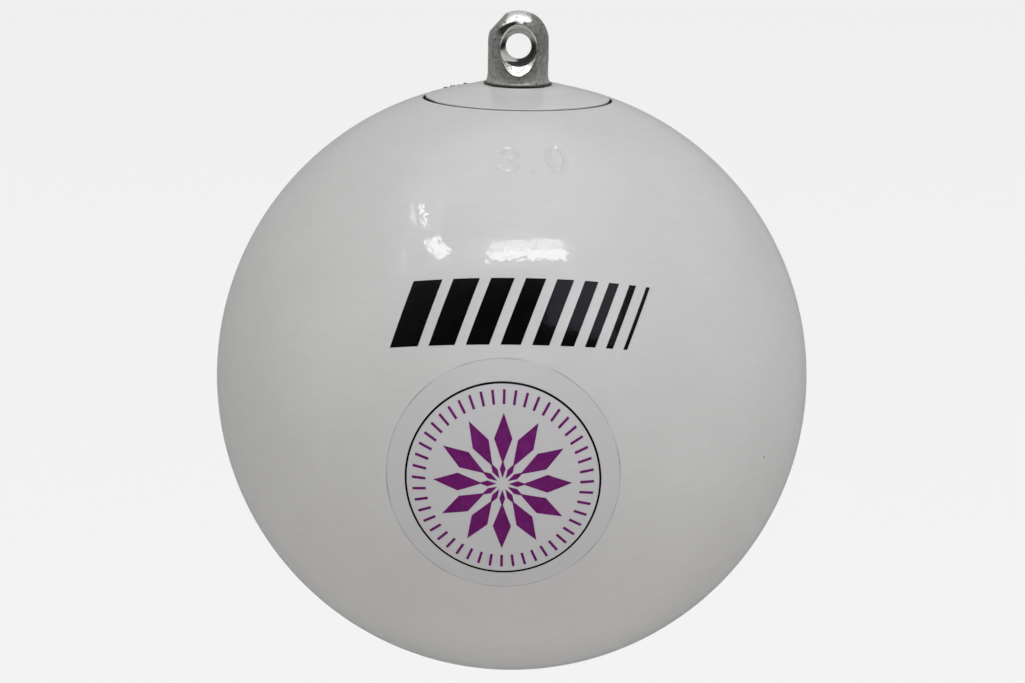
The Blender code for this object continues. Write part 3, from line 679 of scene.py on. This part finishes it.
# Painted light brightens the bore's ceiling and a patch at its lower left. Painted shade darkens the rest of
# the bore and the foot, and painted light brightens the body above the foot.
lit_patch = mark_round_hole(*LIT_PATCH_SIDE) * ease((eye_z + LIT_PATCH_SLOPE * eye_y - LIT_PATCH_LEVEL) / (0.1 * MM))
lit_patch = np.maximum(lit_patch, mark_round_hole(*LIT_CEILING))
bore_shade = in_hole * ease((BORE_EDGE + 0.05 * MM - from_axis) / (0.12 * MM))
foot_shade = ease((foot_level + FOOT_SHADE_RISE[0] - eye_z) / FOOT_SHADE_RISE[1])
foot_light = FOOT_LIGHT_SHARE * ease((foot_level + FOOT_LIGHT_RISE[0] - eye_z) / FOOT_LIGHT_RISE[1]) * (1 - in_hole)
# One shoulder is hammered flat, and the whole skin is lumpy.
over = eye_points @ np.array(FLAT_NORMAL) - FLAT_REACH
over = np.where(over > 0, over * FLAT_SHARE, 0.0) * (1 - in_hole)
eye_points -= over[:, None] * np.array(FLAT_NORMAL)
raised = np.zeros(len(eye_points))
ragged = np.zeros(len(eye_points))
for i, point in enumerate(eye_points):
    spot = Vector(point)
    for length, depth in LUMPS:
        raised[i] += depth * noise.noise(spot / length)
    coarse, fine = (noise.noise(spot / length) for length in RAGGED_LENGTHS)
    ragged[i] = RAGGED_SHARE * (coarse + 0.6 * fine)
raised *= 1 - CUT_AWAY[0] * in_hole
# The polished crown has ragged edges, and its bright tint is a painted highlight.
x, y, z = ((eye_points - np.array((0.0, 0.0, DOME_LEVEL))) / BAR_RADIUS).T
polish_and_highlight = ease((x - CROWN["left"] + ragged) / 0.05) * ease((CROWN["right"] - x + ragged) / 0.05)
polish_and_highlight *= ease((z - CROWN["low"] + ragged * 0.6) / 0.04) * ease((CROWN["back"] - y) / 0.2)
polish_and_highlight *= 1 - in_hole
# Painted shade lies in a band at the front of the hole's upper left, under the crown, and in a dark line
# round the hole's edge.
in_front = eye_y < 0
lip_shade = mark_round_hole(*LIP_SHADE_SIDE) * ease((LIP_SHADE_REACH - from_axis) / (0.2 * MM)) * in_front
outline = ease((facing_hole - 0.03) / 0.08) * ease((0.60 - facing_hole) / 0.06)
outline *= np.maximum(ease(-eye_z / MM), 0.6)
outline *= in_front * (from_axis > BORE_EDGE + 0.4 * MM) * (from_axis < HOLE_REACH)
# A pale painted reflection lies in the upper half of the countersink, with painted light in the bore's lit
# patches and on the body above the foot.
painted_sheen = in_hole * ease((from_axis - BORE_EDGE) / (0.15 * MM))
painted_sheen *= ease((eye_z - SHEEN_RISE[0]) / SHEEN_RISE[1])
painted_sheen = np.maximum(painted_sheen, in_hole * lit_patch * (from_axis < BORE_EDGE))
painted_sheen = np.maximum(painted_sheen, foot_light * (1 - foot_shade))
# The body is darker towards the top, and more so on the right.
darker_top = ease((eye_z - DARK_TOP_RISE[0]) / DARK_TOP_RISE[1]) * (1 - np.maximum(in_hole, polish_and_highlight))
darker_top *= DARK_TOP_SHARE * (1 + DARK_TOP_LEAN * eye_x / BAR_RADIUS)
pits = np.zeros(len(eye_points))
dice = random.Random(4)
for _ in range(PIT_COUNT):
    centre = eye_points[dice.randrange(len(eye_points))]
    radius = MM * (PIT_SIZES[0] + PIT_SIZES[1] * dice.random() ** 3)
    away = np.linalg.norm(eye_points - centre, axis=1) / radius
    pits = np.maximum(pits, (1 - ease(away)) * min(1.0, radius / PIT_FULL))
pits *= 1 - CUT_AWAY[1] * in_hole
fade = ease((eye_z - foot_level - 0.3 * MM) / (0.5 * MM))  # so the foot's underside stays flat
eye_points += eye_normals * ((raised - PIT_DEPTH * pits) * fade)[:, None]
move_points(eye.data, eye_points)
store(eye.data, "cut", np.maximum(in_hole, polish_and_highlight))
store(eye.data, "painted_sheen", painted_sheen)
store(eye.data, "crown_polish_and_highlight", polish_and_highlight)
# Painted shade: a dark band under the crown, a line round the hole's edge, the bore and the foot.
painted_shade = np.maximum(lip_shade * (1 - in_hole), outline) + SHADE_SHARE * (bore_shade * (1 - painted_sheen) + foot_shade)
store(eye.data, "pits_and_shade", np.clip(pits + painted_shade + darker_top, 0, 1))

# Forged steel under a thin skin of scale is a dull, cloudy grey, with dark specks in its pits and painted
# shade where the mesh says so. Where a tool or the wire has been, it is bright and finely mottled. A painted
# highlight brightens the crown, and pale tints paint reflection and light onto the countersink and the lower
# body.
pitted_steel, tree, shader, place = blank_material("pitted_steel")
marks = ("cut", "pits_and_shade", "crown_polish_and_highlight", "painted_sheen")
shares = [node(tree, "ShaderNodeAttribute", attribute_name=mark).outputs["Fac"] for mark in marks]
cut_share, pit_and_shade_share, polish_highlight_share, sheen_share = shares
bright = mottled(tree, place, CUT_LENGTH, CUT_TINTS)
polish_highlight_share = node(tree, "ShaderNodeMath", {0: polish_highlight_share, 1: HIGHLIGHT_SHARE}, operation="MULTIPLY")
bright = blend(tree, polish_highlight_share, bright, HIGHLIGHT_TINT)
whole = blend(tree, cut_share, mottled(tree, place, SCALE_LENGTH, STEEL_TINTS), bright)
whole = blend(tree, sheen_share, whole, mottled(tree, place, SCALE_LENGTH, SHEEN_TINTS))
metal = node(tree, "ShaderNodeMix", {0: cut_share, 2: SCALE_METAL, 3: 1.0}, data_type="FLOAT")
metal = node(tree, "ShaderNodeMix", {0: sheen_share, 2: metal, 3: 0.0}, data_type="FLOAT")
rough = wandering(tree, place, GLOSS_LENGTH, *SCALE_ROUGHNESS)
rough = node(tree, "ShaderNodeMix", {0: cut_share, 2: rough, 3: CUT_ROUGHNESS}, data_type="FLOAT")
rough = node(tree, "ShaderNodeMix", {0: pit_and_shade_share, 2: rough, 3: PIT_ROUGHNESS}, data_type="FLOAT")
looks = {"Base Color": blend(tree, pit_and_shade_share, whole, PIT_AND_SHADE_TINT), "Metallic": metal, "Roughness": rough}
join(tree, shader, looks | bumps(tree, place, STEEL_GRAIN))
eye.data.materials.clear()
eye.data.materials.append(pitted_steel)
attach(eye, "swivel")
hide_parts("swivel_spindle")


# The shank
# The turned end of the same forging, which runs down through the bush and the bearing. Its lower end has an
# M8 thread for the nut and a cross hole for the pin.
SHANK_PITCH = 1.25 * MM
SHANK_THREAD = 0.68 * MM
SHANK_POINT = 0.8 * MM
PIN_HOLE_RADIUS = 1.0 * MM
PIN_HOLE_LENGTH = 12 * MM
DRILL_COLUMNS = 48
CROWN_MIDDLE = 1.5 * MM  # from the nut's lower end to the pin
SHARP_ANGLE = math.radians(35)
SHANK_BODY = SHANK_RADIUS - 0.02 * MM  # stays inside the solid's box
SHANK_CREST = SHANK_RADIUS - 0.03 * MM
spindle_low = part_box("swivel_spindle")[0]
nut_low, nut_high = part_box("castle_nut")

shank_levels = (nut_high.z + 1.4 * MM, spindle_low.z + 0.1 * MM)
shank_rows = int((shank_levels[0] - shank_levels[1]) / SHANK_PITCH * THREAD_ROWS)
shank_profile = [(0.0, foot_level - 0.5 * MM), (SHANK_RADIUS - 0.05 * MM, foot_level - 0.5 * MM)]
shank_profile += [(SHANK_BODY, foot_level - 1.1 * MM), (SHANK_BODY, shank_levels[0])]
shank_profile += [(SHANK_CREST, z) for z in np.linspace(*shank_levels, shank_rows)]
shank_profile += [(SHANK_RADIUS - SHANK_POINT, spindle_low.z), (0.0, spindle_low.z)]
shank = turned("threaded_shank", ((shank_profile, even(BORE_COLUMNS)),))
shank_limits = (SHANK_RADIUS - 0.5 * MM, SHANK_RADIUS + MM)
cut_thread(shank.data, shank_levels, SHANK_CREST, SHANK_THREAD, SHANK_PITCH, shank_limits)
drill_end = PIN_HOLE_LENGTH / 2
drill_profile = [(0.0, drill_end), (PIN_HOLE_RADIUS, drill_end)]
drill_profile += [(PIN_HOLE_RADIUS, -drill_end), (0.0, -drill_end)]
drill = turned("pin_drill", ((drill_profile, even(DRILL_COLUMNS)),))
drill.rotation_euler.y = math.pi / 2
drill.location.z = nut_low.z + CROWN_MIDDLE
cut = shank.modifiers.new("pin_hole", "BOOLEAN")
cut.object = drill
bake(shank)
bpy.data.objects.remove(drill)
shank.data.set_sharp_from_angle(angle=SHARP_ANGLE)
store(shank.data, "cut", np.ones(len(shank.data.vertices)))
shank.data.materials.append(pitted_steel)
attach(shank, "swivel")
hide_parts("swivel_spindle")


# The swivel's inner pieces
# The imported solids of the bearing, nut, pin, bush, seal and lead are sealed inside the ball and keep their
# shapes. Each has the finish of the real piece: ground, blacked, plated, drawn, pressed, cast or moulded.
RACES_AND_BALLS = ["upper_race", "lower_race"] + [f"bearing_ball_{i}" for i in range(1, 10)]
# For each finish: its pieces, its tints, how metallic it is, the lengths of its tint's patches and of its
# gloss's, its roughness, and its bump's length, depth and fineness. All lengths are in millimetres.
INNER_FINISHES = {
    # Ground and lapped steel is mirror bright, with a faint haze of grease.
    "bearing_steel": (RACES_AND_BALLS, ("#CFCFCD", "#E0E0DE"), 1, 3, 1.5, (0.05, 0.14), (0.3, 0.0005, 2)),
    # Oil-blacked hardened steel is nearly black, with brown patches.
    "hardened_washer": (["thrust_washer"], ("#2A2826", "#413B35"), 1, 2, 1, (0.25, 0.45), (0.2, 0.004, 3)),
    # Zinc plate is a bluish bright grey with cloudy patches.
    "zinc_plate": (["castle_nut"], ("#A9ADB2", "#C6CACD"), 1, 1.5, 0.75, (0.22, 0.4), (0.15, 0.003, 3)),
    # Drawn wire keeps fine die lines and a soft shine.
    "bright_wire": (["cotter_pin"], ("#B9B7B2", "#D2D0CB"), 1, 0.8, 0.4, (0.2, 0.35), (0.08, 0.002, 2)),
    # Pressed brass strip is yellow, lightly tarnished in patches.
    "pressed_brass": (["bearing_cage"], ("#B8924A", "#D9B566"), 1, 2.5, 1.25, (0.2, 0.4), (0.3, 0.004, 3)),
    # Sintered bronze is brown, porous and dark with oil.
    "oiled_bronze": (["guide_bush"], ("#6E4E2C", "#A87C48"), 1, 0.6, 0.3, (0.35, 0.6), (0.12, 0.012, 4)),
    # Cast lead is a dull blue-grey with a crinkled skin.
    "cast_lead": (["lead_ballast"], ("#5C5F64", "#7F8287"), 1, 4, 2, (0.5, 0.75), (1.2, 0.06, 4)),
    # Moulded rubber is a soft black with a grey bloom.
    "nitrile_rubber": (["grease_seal"], ("#151516", "#2A2A2B"), 0, 1.2, 0.8, (0.5, 0.7), (0.15, 0.004, 3)),
}
for name, finish in INNER_FINISHES.items():
    nodes, tints, metallic, patch, gloss_patch, gloss, (length, depth, detail) = finish
    made, tree, shader, place = blank_material(name)
    rough = wandering(tree, place, gloss_patch * MM, *gloss)
    looks = {"Base Color": mottled(tree, place, patch * MM, tints), "Metallic": metallic, "Roughness": rough}
    join(tree, shader, looks | bumps(tree, place, ((length * MM, depth * MM, detail),)))
    for piece_name in nodes:
        for material_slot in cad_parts[piece_name].material_slots:
            material_slot.material = made


# The bar print
# A band of slanted bars, from wide to narrow, screened in gloss black straight onto the enamel. The ink is
# thin and even, so it shows the enamel's waves.
BARS_PIXEL = (521, 311)
BARS = {"Count": 9, "First": 4.4 * MM, "Step": -0.475 * MM, "Gap": 1.65 * MM, "Tall": 10.0 * MM}
BARS_SLANT = math.radians(20)
INK_LEVELS = (-0.02 * MM, 0.03 * MM)
INK_TINTS = ("#020203", "#080809")
INK_ROUGHNESS = (0.06, 0.14)
INK_SHINE = 0.36
INK_GRAIN = (0.12 * MM, 0.002 * MM, 2.0)
INK_PATCH = 1.5 * MM
INK_GLOSS_PATCH = 2.5 * MM
CREASE = math.radians(40)  # edges sharper than this stay sharp


def ink(name, tints, gloss, level):
    """Dried screen ink, which follows the waves under it and has a fine grain of its own."""
    made, tree, shader, place = blank_material(name)
    looks = {
        "Base Color": mottled(tree, place, INK_PATCH, tints),
        "Roughness": wandering(tree, place, INK_GLOSS_PATCH, *gloss),
        "Specular IOR Level": level,
    }
    layers = ((WAVE_LENGTH, WAVE_DEPTH, 1.0), (PEEL_LENGTH, PEEL_DEPTH, 1.0), INK_GRAIN)
    join(tree, shader, looks | bumps(tree, place, layers))
    return made


def new_tree(name, sizes):
    """A Geometry Nodes tree with a named input for each of its sizes, and its input node."""
    tree = bpy.data.node_groups.new(name, "GeometryNodeTree")
    for label, value in sizes.items():
        kind = "NodeSocketInt" if isinstance(value, int) else "NodeSocketFloat"
        tree.interface.new_socket(label, in_out="INPUT", socket_type=kind)
    tree.interface.new_socket("Geometry", in_out="OUTPUT", socket_type="NodeSocketGeometry")
    return tree, tree.nodes.new("NodeGroupInput").outputs


def grown(name, tree, geometry, material, sizes):
    """The plain mesh that a tree makes, with its copies made real and its material set."""
    real = node(tree, "GeometryNodeRealizeInstances", {0: geometry})
    dressed = node(tree, "GeometryNodeSetMaterial", {"Geometry": real, "Material": material})
    node(tree, "NodeGroupOutput", {0: dressed})
    piece = bpy.data.objects.new(name, bpy.data.meshes.new(name))
    bpy.context.scene.collection.objects.link(piece)
    grow = piece.modifiers.new("grow", "NODES")
    grow.node_group = tree
    for socket in tree.interface.items_tree:
        if socket.in_out == "INPUT":
            grow[socket.identifier] = sizes[socket.name]
    return bake(piece)


def wrap(piece, pixel, shift=(0.0, 0.0), stretch=1.0):
    """Bends a flat piece onto the ball round where a pixel sees it: x goes right, y up and z outwards."""
    out, across, along = directions_at(pixel)
    points = points_of(piece.data)
    points[:, 1] *= stretch
    points[:, :2] += shift
    away = np.maximum(np.hypot(points[:, 0], points[:, 1]), 1e-9)
    turn = away / PAINTED_RADIUS
    sideways = (points[:, :1] * across + points[:, 1:2] * along) / away[:, None]
    bent = np.cos(turn)[:, None] * out + np.sin(turn)[:, None] * sideways
    move_points(piece.data, np.array(BALL_CENTRE) + bent * (PAINTED_RADIUS + points[:, 2:]))


# Thick black ink shines nearly as the enamel does, and is so dark that only the lamps show in it.
black_ink = ink("gloss_black_ink", INK_TINTS, INK_ROUGHNESS, INK_SHINE)
tree, size = new_tree("slanted_bars", BARS)
index = node(tree, "GeometryNodeInputIndex")
width = node(tree, "ShaderNodeMath", {0: index, 1: size["Step"], 2: size["First"]}, operation="MULTIPLY_ADD")
pitch = node(tree, "ShaderNodeMath", {0: size["First"], 1: size["Gap"]}, operation="ADD")
half = node(tree, "ShaderNodeMath", {0: size["First"], 1: 0.5}, operation="MULTIPLY")
even_place = node(tree, "ShaderNodeMath", {0: index, 1: pitch, 2: half}, operation="MULTIPLY_ADD")
square = node(tree, "ShaderNodeMath", {0: index, 1: index}, operation="MULTIPLY")
half_step = node(tree, "ShaderNodeMath", {0: size["Step"], 1: 0.5}, operation="MULTIPLY")
bar_place = node(tree, "ShaderNodeMath", {0: square, 1: half_step, 2: even_place}, operation="MULTIPLY_ADD")
line = node(tree, "GeometryNodeMeshLine", {"Count": size["Count"]})
bar_middle = node(tree, "ShaderNodeCombineXYZ", {0: bar_place})
spots = node(tree, "GeometryNodeSetPosition", {"Geometry": line, "Position": bar_middle})
bar_size = node(tree, "ShaderNodeCombineXYZ", {0: 1.0, 1: size["Tall"], 2: INK_LEVELS[1] - INK_LEVELS[0]})
bar_parts = {"Size": bar_size, "Vertices X": 6, "Vertices Y": 14, "Vertices Z": 2}
bar = node(tree, "GeometryNodeMeshCube", bar_parts)
bar_scale = node(tree, "ShaderNodeCombineXYZ", {0: width, 1: 1.0, 2: 1.0})
copies = node(tree, "GeometryNodeInstanceOnPoints", {"Points": spots, "Instance": bar, "Scale": bar_scale})
bars = grown("bar_print", tree, copies, black_ink, BARS)
bar_points = points_of(bars.data)
bar_points[:, 0] -= bar_points[:, 0].max() / 2
bar_points[:, 0] += bar_points[:, 1] * math.tan(BARS_SLANT)
bar_points[:, 2] += sum(INK_LEVELS) / 2
move_points(bars.data, bar_points)
wrap(bars, BARS_PIXEL)
bars.data.set_sharp_from_angle(angle=CREASE)
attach(bars, "head")


# The round sticker
# A round of clear vinyl over the enamel, printed with a thin black ring, a dial of purple ticks and a rosette
# of purple lozenges. The vinyl is a shade cooler than the paint, and its cut edge has caught a little dirt.
STICKER_PIXEL = (502.5, 482.2)
STICKER_RADIUS = 17.65 * MM
STICKER_LEVELS = (-0.02 * MM, 0.04 * MM)
STICKER_TINTS = ("#C6C5C7", "#CCCBCD")
STICKER_ROUGHNESS = (0.06, 0.12)
STICKER_WAVES = 0.7  # of the depth of the enamel's
STICKER_COLUMNS = 180
STICKER_EDGE = 0.02 * MM
DIRT_WIDTH = 0.05 * MM
DIRT_SHARE = 0.35
PRINT_SHIFT = (0.0, -0.25 * MM)
STICKER_STRETCH = 1.048  # upwards, as it was pressed onto the ball
PRINT_STRETCH = 1.047
PRINT_LEVELS = (0.03 * MM, 0.055 * MM)
RING_RADIUS = 14.5 * MM
RING_WIDTH = 0.32 * MM
RING_COLUMNS = 240
TICKS = {"Count": 48, "Radius": 12.5 * MM, "Length": 2.1 * MM, "Width": 0.4 * MM, "Turn": 0.0}
PETALS = {"Count": 12, "Radius": 6.6 * MM, "Length": 5.2 * MM, "Width": 1.9 * MM, "Turn": math.pi / 4}
CORE = {"Count": 12, "Radius": 2.2 * MM, "Length": 1.9 * MM, "Width": 0.62 * MM, "Turn": math.pi / 4}
PURPLE_TINTS = ("#651561", "#701C6B")
PURPLE_ROUGHNESS = (0.2, 0.35)
PURPLE_SHINE = 0.15

# Clear vinyl lies flatter than the enamel under it, shines a little softer, and takes a faint cool tint.
vinyl_waves = ((WAVE_LENGTH, WAVE_DEPTH * STICKER_WAVES, 1.0),)
clear_vinyl = gloss_coat("clear_vinyl", STICKER_TINTS, vinyl_waves, STICKER_ROUGHNESS)
vinyl_steps = list(np.linspace(0.0, STICKER_RADIUS * 0.975, 20)) + [STICKER_RADIUS * 0.988]
vinyl_profile = [(r, STICKER_LEVELS[1]) for r in vinyl_steps]
vinyl_profile += [(STICKER_RADIUS - STICKER_EDGE, STICKER_LEVELS[1])]
vinyl_profile += [(STICKER_RADIUS, STICKER_LEVELS[1] - STICKER_EDGE), (STICKER_RADIUS, STICKER_LEVELS[0])]
vinyl_profile += [(r, STICKER_LEVELS[0]) for r in vinyl_steps[::-1]]
sticker = turned("round_sticker", ((vinyl_profile, even(STICKER_COLUMNS)),))
sticker_points = points_of(sticker.data)
from_middle = np.hypot(sticker_points[:, 0], sticker_points[:, 1])
round_it = np.arctan2(sticker_points[:, 1], sticker_points[:, 0])
dirt = DIRT_SHARE + DIRT_SHARE * np.sin(3 * round_it + 1.0) * np.sin(11 * round_it)
store(sticker.data, "bare", (from_middle > STICKER_RADIUS - DIRT_WIDTH) * dirt)
wrap(sticker, STICKER_PIXEL, stretch=STICKER_STRETCH)
sticker.data.materials.append(clear_vinyl)
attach(sticker, "head")

ring_edges = (RING_RADIUS - RING_WIDTH / 2, RING_RADIUS + RING_WIDTH / 2)
ring_profile = [(ring_edges[0], PRINT_LEVELS[1]), (ring_edges[1], PRINT_LEVELS[1])]
ring_profile += [(ring_edges[1], PRINT_LEVELS[0]), (ring_edges[0], PRINT_LEVELS[0])]
ring = turned("sticker_ring", ((ring_profile, even(RING_COLUMNS)),), closed=True)
wrap(ring, STICKER_PIXEL, PRINT_SHIFT, PRINT_STRETCH)
ring.data.materials.append(black_ink)
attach(ring, "head")


def ring_of_marks(name, sizes, material):
    """Flat marks that point at a circle's middle: strips, or lozenges where Turn is an eighth of a turn."""
    tree, size = new_tree(name, sizes)
    circle = node(tree, "GeometryNodeMeshCircle", {"Vertices": size["Count"], "Radius": size["Radius"]})
    block_size = (1.0, 1.0, PRINT_LEVELS[1] - PRINT_LEVELS[0])
    block_parts = {"Size": block_size, "Vertices X": 7, "Vertices Y": 7, "Vertices Z": 2}
    block = node(tree, "GeometryNodeMeshCube", block_parts)
    spin = node(tree, "ShaderNodeCombineXYZ", {2: size["Turn"]})
    spun = node(tree, "GeometryNodeTransform", {"Geometry": block, "Rotation": spin})
    reach = node(tree, "ShaderNodeCombineXYZ", {0: size["Length"], 1: size["Width"], 2: 1.0})
    mark = node(tree, "GeometryNodeTransform", {"Geometry": spun, "Scale": reach})
    spot = node(tree, "GeometryNodeInputPosition")
    aim = node(tree, "FunctionNodeAlignRotationToVector", {"Vector": spot}, axis="X")
    copies = node(tree, "GeometryNodeInstanceOnPoints", {"Points": circle, "Instance": mark, "Rotation": aim})
    piece = grown(name, tree, copies, material, sizes)
    points = points_of(piece.data)
    points[:, 2] += sum(PRINT_LEVELS) / 2
    move_points(piece.data, points)
    wrap(piece, STICKER_PIXEL, PRINT_SHIFT, PRINT_STRETCH)
    piece.data.set_sharp_from_angle(angle=CREASE)
    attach(piece, "head")


# The purple ink has sunk into the vinyl: it is even, and hardly shines.
purple_ink = ink("purple_vinyl_ink", PURPLE_TINTS, PURPLE_ROUGHNESS, PURPLE_SHINE)
for name, sizes in {"sticker_ticks": TICKS, "sticker_petals": PETALS, "sticker_core": CORE}.items():
    ring_of_marks(name, sizes, purple_ink)


# The set
# A pale floor, a grey studio and the lamps that the photograph's reflections show. The head hangs on its
# wire in use, so it hangs here too, a little above the floor. Nothing here is part of the object.
BACKGROUND = "#F2F2F2"
BOUNCE_TINT = "#F2F0EE"
WHITE = (1, 1, 1, 1)
ROOM_LIGHT = 0.41
ROOM_SLOPE = 0.10
HANG_HEIGHT = 60 * MM  # from the floor to the ball
FLOOR_SIZE = 60.0
SHADOW_SHARE = 0.3
OPEN_FLOOR = 0.795  # light that the open floor gets
LAMP_DISTANCE = 6.0
DOME_RADIUS = 9.0
BOWL_RADIUS = 0.33
BOWL_TOP = 45 * MM  # over the ball's centre
CARD_FRONT = 0.10  # of the level at the sides and behind
CARD_EDGES = (-0.85, 0.0)  # from the front to the sides, on a dome of radius 1
CARD_LEVELS = (0.15, 0.67)  # from below to above
SKY_LEVEL = 0.65  # more, straight above
SKY_EDGES = (0.78, 0.92)  # of the height on a dome of radius 1
floor_level = BALL_CENTRE.z - PAINTED_RADIUS - HANG_HEIGHT

shape = bmesh.new()
bmesh.ops.create_grid(shape, x_segments=1, y_segments=1, size=FLOOR_SIZE / 2)
floor = finished("floor", shape)
floor.location.z = floor_level


def bare_tree(owner):
    """The emptied node tree of a material or a world."""
    owner.use_nodes = True
    owner.node_tree.nodes.clear()
    return owner.node_tree


def seen_rays(tree):
    """A node that gives 1 for camera, glossy and transmission rays, and 0 for the rays that carry light."""
    rays = node(tree, "ShaderNodeLightPath").outputs
    pair = {0: rays["Is Camera Ray"], 1: rays["Is Glossy Ray"]}
    pair = {0: node(tree, "ShaderNodeMath", pair, operation="MAXIMUM"), 1: rays["Is Transmission Ray"]}
    return node(tree, "ShaderNodeMath", pair, operation="MAXIMUM")


# The floor adds its own glow where it is seen, and so keeps only a part of the object's shadow.
pale_floor = bpy.data.materials.new("pale_floor")
tree = bare_tree(pale_floor)
seen = seen_rays(tree)
tone = linear(BACKGROUND)[0]
lit_tone = SHADOW_SHARE * tone / OPEN_FLOOR
cloth_colour = blend(tree, seen, BOUNCE_TINT, (lit_tone, lit_tone, lit_tone, 1.0))
cloth = node(tree, "ShaderNodeBsdfDiffuse", {"Color": cloth_colour})
glow_level = node(tree, "ShaderNodeMath", {0: seen, 1: (1 - SHADOW_SHARE) * tone}, operation="MULTIPLY")
glow = node(tree, "ShaderNodeEmission", {"Color": WHITE, "Strength": glow_level})
both = node(tree, "ShaderNodeAddShader", {0: cloth, 1: glow})
node(tree, "ShaderNodeOutputMaterial", {"Surface": both})
floor.data.materials.append(pale_floor)

world = bpy.data.worlds.new("studio")
bpy.context.scene.world = world
tree = bare_tree(world)
direction = node(tree, "ShaderNodeTexCoord").outputs["Generated"]
sideways = node(tree, "ShaderNodeSeparateXYZ", {0: direction}).outputs["X"]
level = node(tree, "ShaderNodeMath", {0: sideways, 1: ROOM_SLOPE, 2: ROOM_LIGHT}, operation="MULTIPLY_ADD")
room = node(tree, "ShaderNodeBackground", {"Color": WHITE, "Strength": level})
backdrop = node(tree, "ShaderNodeBackground", {"Color": linear(BACKGROUND), "Strength": 1.0})
chosen = node(tree, "ShaderNodeMixShader", {"Fac": seen_rays(tree), 1: room, 2: backdrop})
node(tree, "ShaderNodeOutputWorld", {"Surface": chosen})

# Grey cards stand round and under the object, outside the camera's view, as they do round any glossy pale
# object, so that its edges don't wash out. They darken what its gloss shows, and take no light away.
shape = bmesh.new()
bmesh.ops.create_uvsphere(shape, u_segments=64, v_segments=40, radius=DOME_RADIUS)
bmesh.ops.delete(shape, geom=[v for v in shape.verts if v.co.z < -0.01], context="VERTS")
bowl_bottom = floor_level - BALL_CENTRE.z + MM
bowl_middle = Matrix.Translation((0, 0, (BOWL_TOP + bowl_bottom) / 2))
bowl_sizes = {"radius1": BOWL_RADIUS, "radius2": BOWL_RADIUS, "depth": BOWL_TOP - bowl_bottom}
bmesh.ops.create_cone(shape, segments=64, matrix=bowl_middle, cap_ends=True, **bowl_sizes)
lid = [f for f in shape.faces if len(f.verts) > 4 and f.calc_center_median().z > 0]
bmesh.ops.delete(shape, geom=lid, context="FACES_ONLY")
bmesh.ops.reverse_faces(shape, faces=shape.faces)
cards = finished("grey_cards", shape)
cards.location = BALL_CENTRE
cards.visible_camera = False
cards.visible_diffuse = False
cards.visible_shadow = False
grey_card = bpy.data.materials.new("grey_card")
tree = bare_tree(grey_card)
place = node(tree, "ShaderNodeTexCoord").outputs["Object"]
direction = node(tree, "ShaderNodeVectorMath", {0: place}, operation="NORMALIZE")
_, y, z = node(tree, "ShaderNodeSeparateXYZ", {0: direction}).outputs
spread = {"Value": z, "From Min": -1.0, "To Min": CARD_LEVELS[0], "To Max": CARD_LEVELS[1]}
height = node(tree, "ShaderNodeMapRange", spread)
spread = {"Value": y, "From Min": CARD_EDGES[0], "From Max": CARD_EDGES[1], "To Min": CARD_FRONT}
front = node(tree, "ShaderNodeMapRange", spread, interpolation_type="SMOOTHSTEP")
spread = {"Value": z, "From Min": SKY_EDGES[0], "From Max": SKY_EDGES[1], "To Max": SKY_LEVEL}
above = node(tree, "ShaderNodeMapRange", spread, interpolation_type="SMOOTHSTEP")
low = node(tree, "ShaderNodeMath", {0: height, 1: front}, operation="MULTIPLY")
grey = node(tree, "ShaderNodeMath", {0: low, 1: above}, operation="ADD")
glow = node(tree, "ShaderNodeEmission", {"Color": WHITE, "Strength": grey})
node(tree, "ShaderNodeOutputMaterial", {"Surface": glow})
cards.data.materials.append(grey_card)


def mirrored(pixel):
    """Where something stands that the ball shows at a pixel."""
    out = on_ball(pixel)
    spot = BALL_CENTRE + out * PAINTED_RADIUS
    to_camera = (view_point - spot).normalized()
    return spot + (out * 2 * out.dot(to_camera) - to_camera) * LAMP_DISTANCE


def lamp(name, pixel, wide, tall, radiance, tilt=0.0, tint="#FFFFFF", shown=True):
    """A flat lamp that the ball shows at a pixel, some pixels wide and tall, and turned by some degrees."""
    tilt = math.radians(tilt)
    side = Vector((math.cos(tilt), -math.sin(tilt))) * wide / 2
    rise = Vector((-math.sin(tilt), -math.cos(tilt))) * tall / 2
    middle = mirrored(pixel)
    width = mirrored(Vector(pixel) + side) - mirrored(Vector(pixel) - side)
    height = mirrored(Vector(pixel) + rise) - mirrored(Vector(pixel) - rise)
    data = bpy.data.lights.new(name, "AREA")
    data.shape = "RECTANGLE"
    data.size = width.length
    data.size_y = height.length
    data.energy = radiance * math.pi * data.size * data.size_y
    data.color = linear(tint)[:3]
    back = (middle - BALL_CENTRE).normalized()
    right = (width - back * width.dot(back)).normalized()
    made = bpy.data.objects.new(name, data)
    bpy.context.scene.collection.objects.link(made)
    turn = Matrix((right, back.cross(right), back)).transposed().to_4x4()
    made.matrix_world = Matrix.Translation(middle) @ turn
    made.visible_camera = False
    made.visible_glossy = shown


lamp("lower_tube", (527, 253.5), 82, 11, 7.8, 1)
lamp("upper_tube", (527, 243.5), 80, 7, 4.9, 1)
lamp("tube_glow", (521, 250), 114, 27, 0.5, 1)
lamp("window_pane", (438, 248), 15, 25, 8.5, 35)
lamp("left_sliver", (413, 216), 2.2, 19, 9.0, 26)
lamp("right_sliver", (424, 216), 2.8, 24, 10.0, 22)
lamp("cool_panel", (585, 303), 78, 60, 0.88, -15, tint="#E6E8FF")
lamp("faint_line", (404, 254), 2, 28, 3.0, 14)
lamp("left_glow", (414, 232), 60, 90, 0.5, 15)
lamp("left_glow_core", (424, 238), 34, 58, 0.3, 15)
lamp("wide_glow", (534, 248), 260, 44, 0.26)
lamp("middle_glow", (516, 252), 190, 34, 0.26)
lamp("near_glow", (492, 255), 130, 26, 0.26)
lamp("soft_key", (556, 248), 100, 70, 2.15, shown=False)
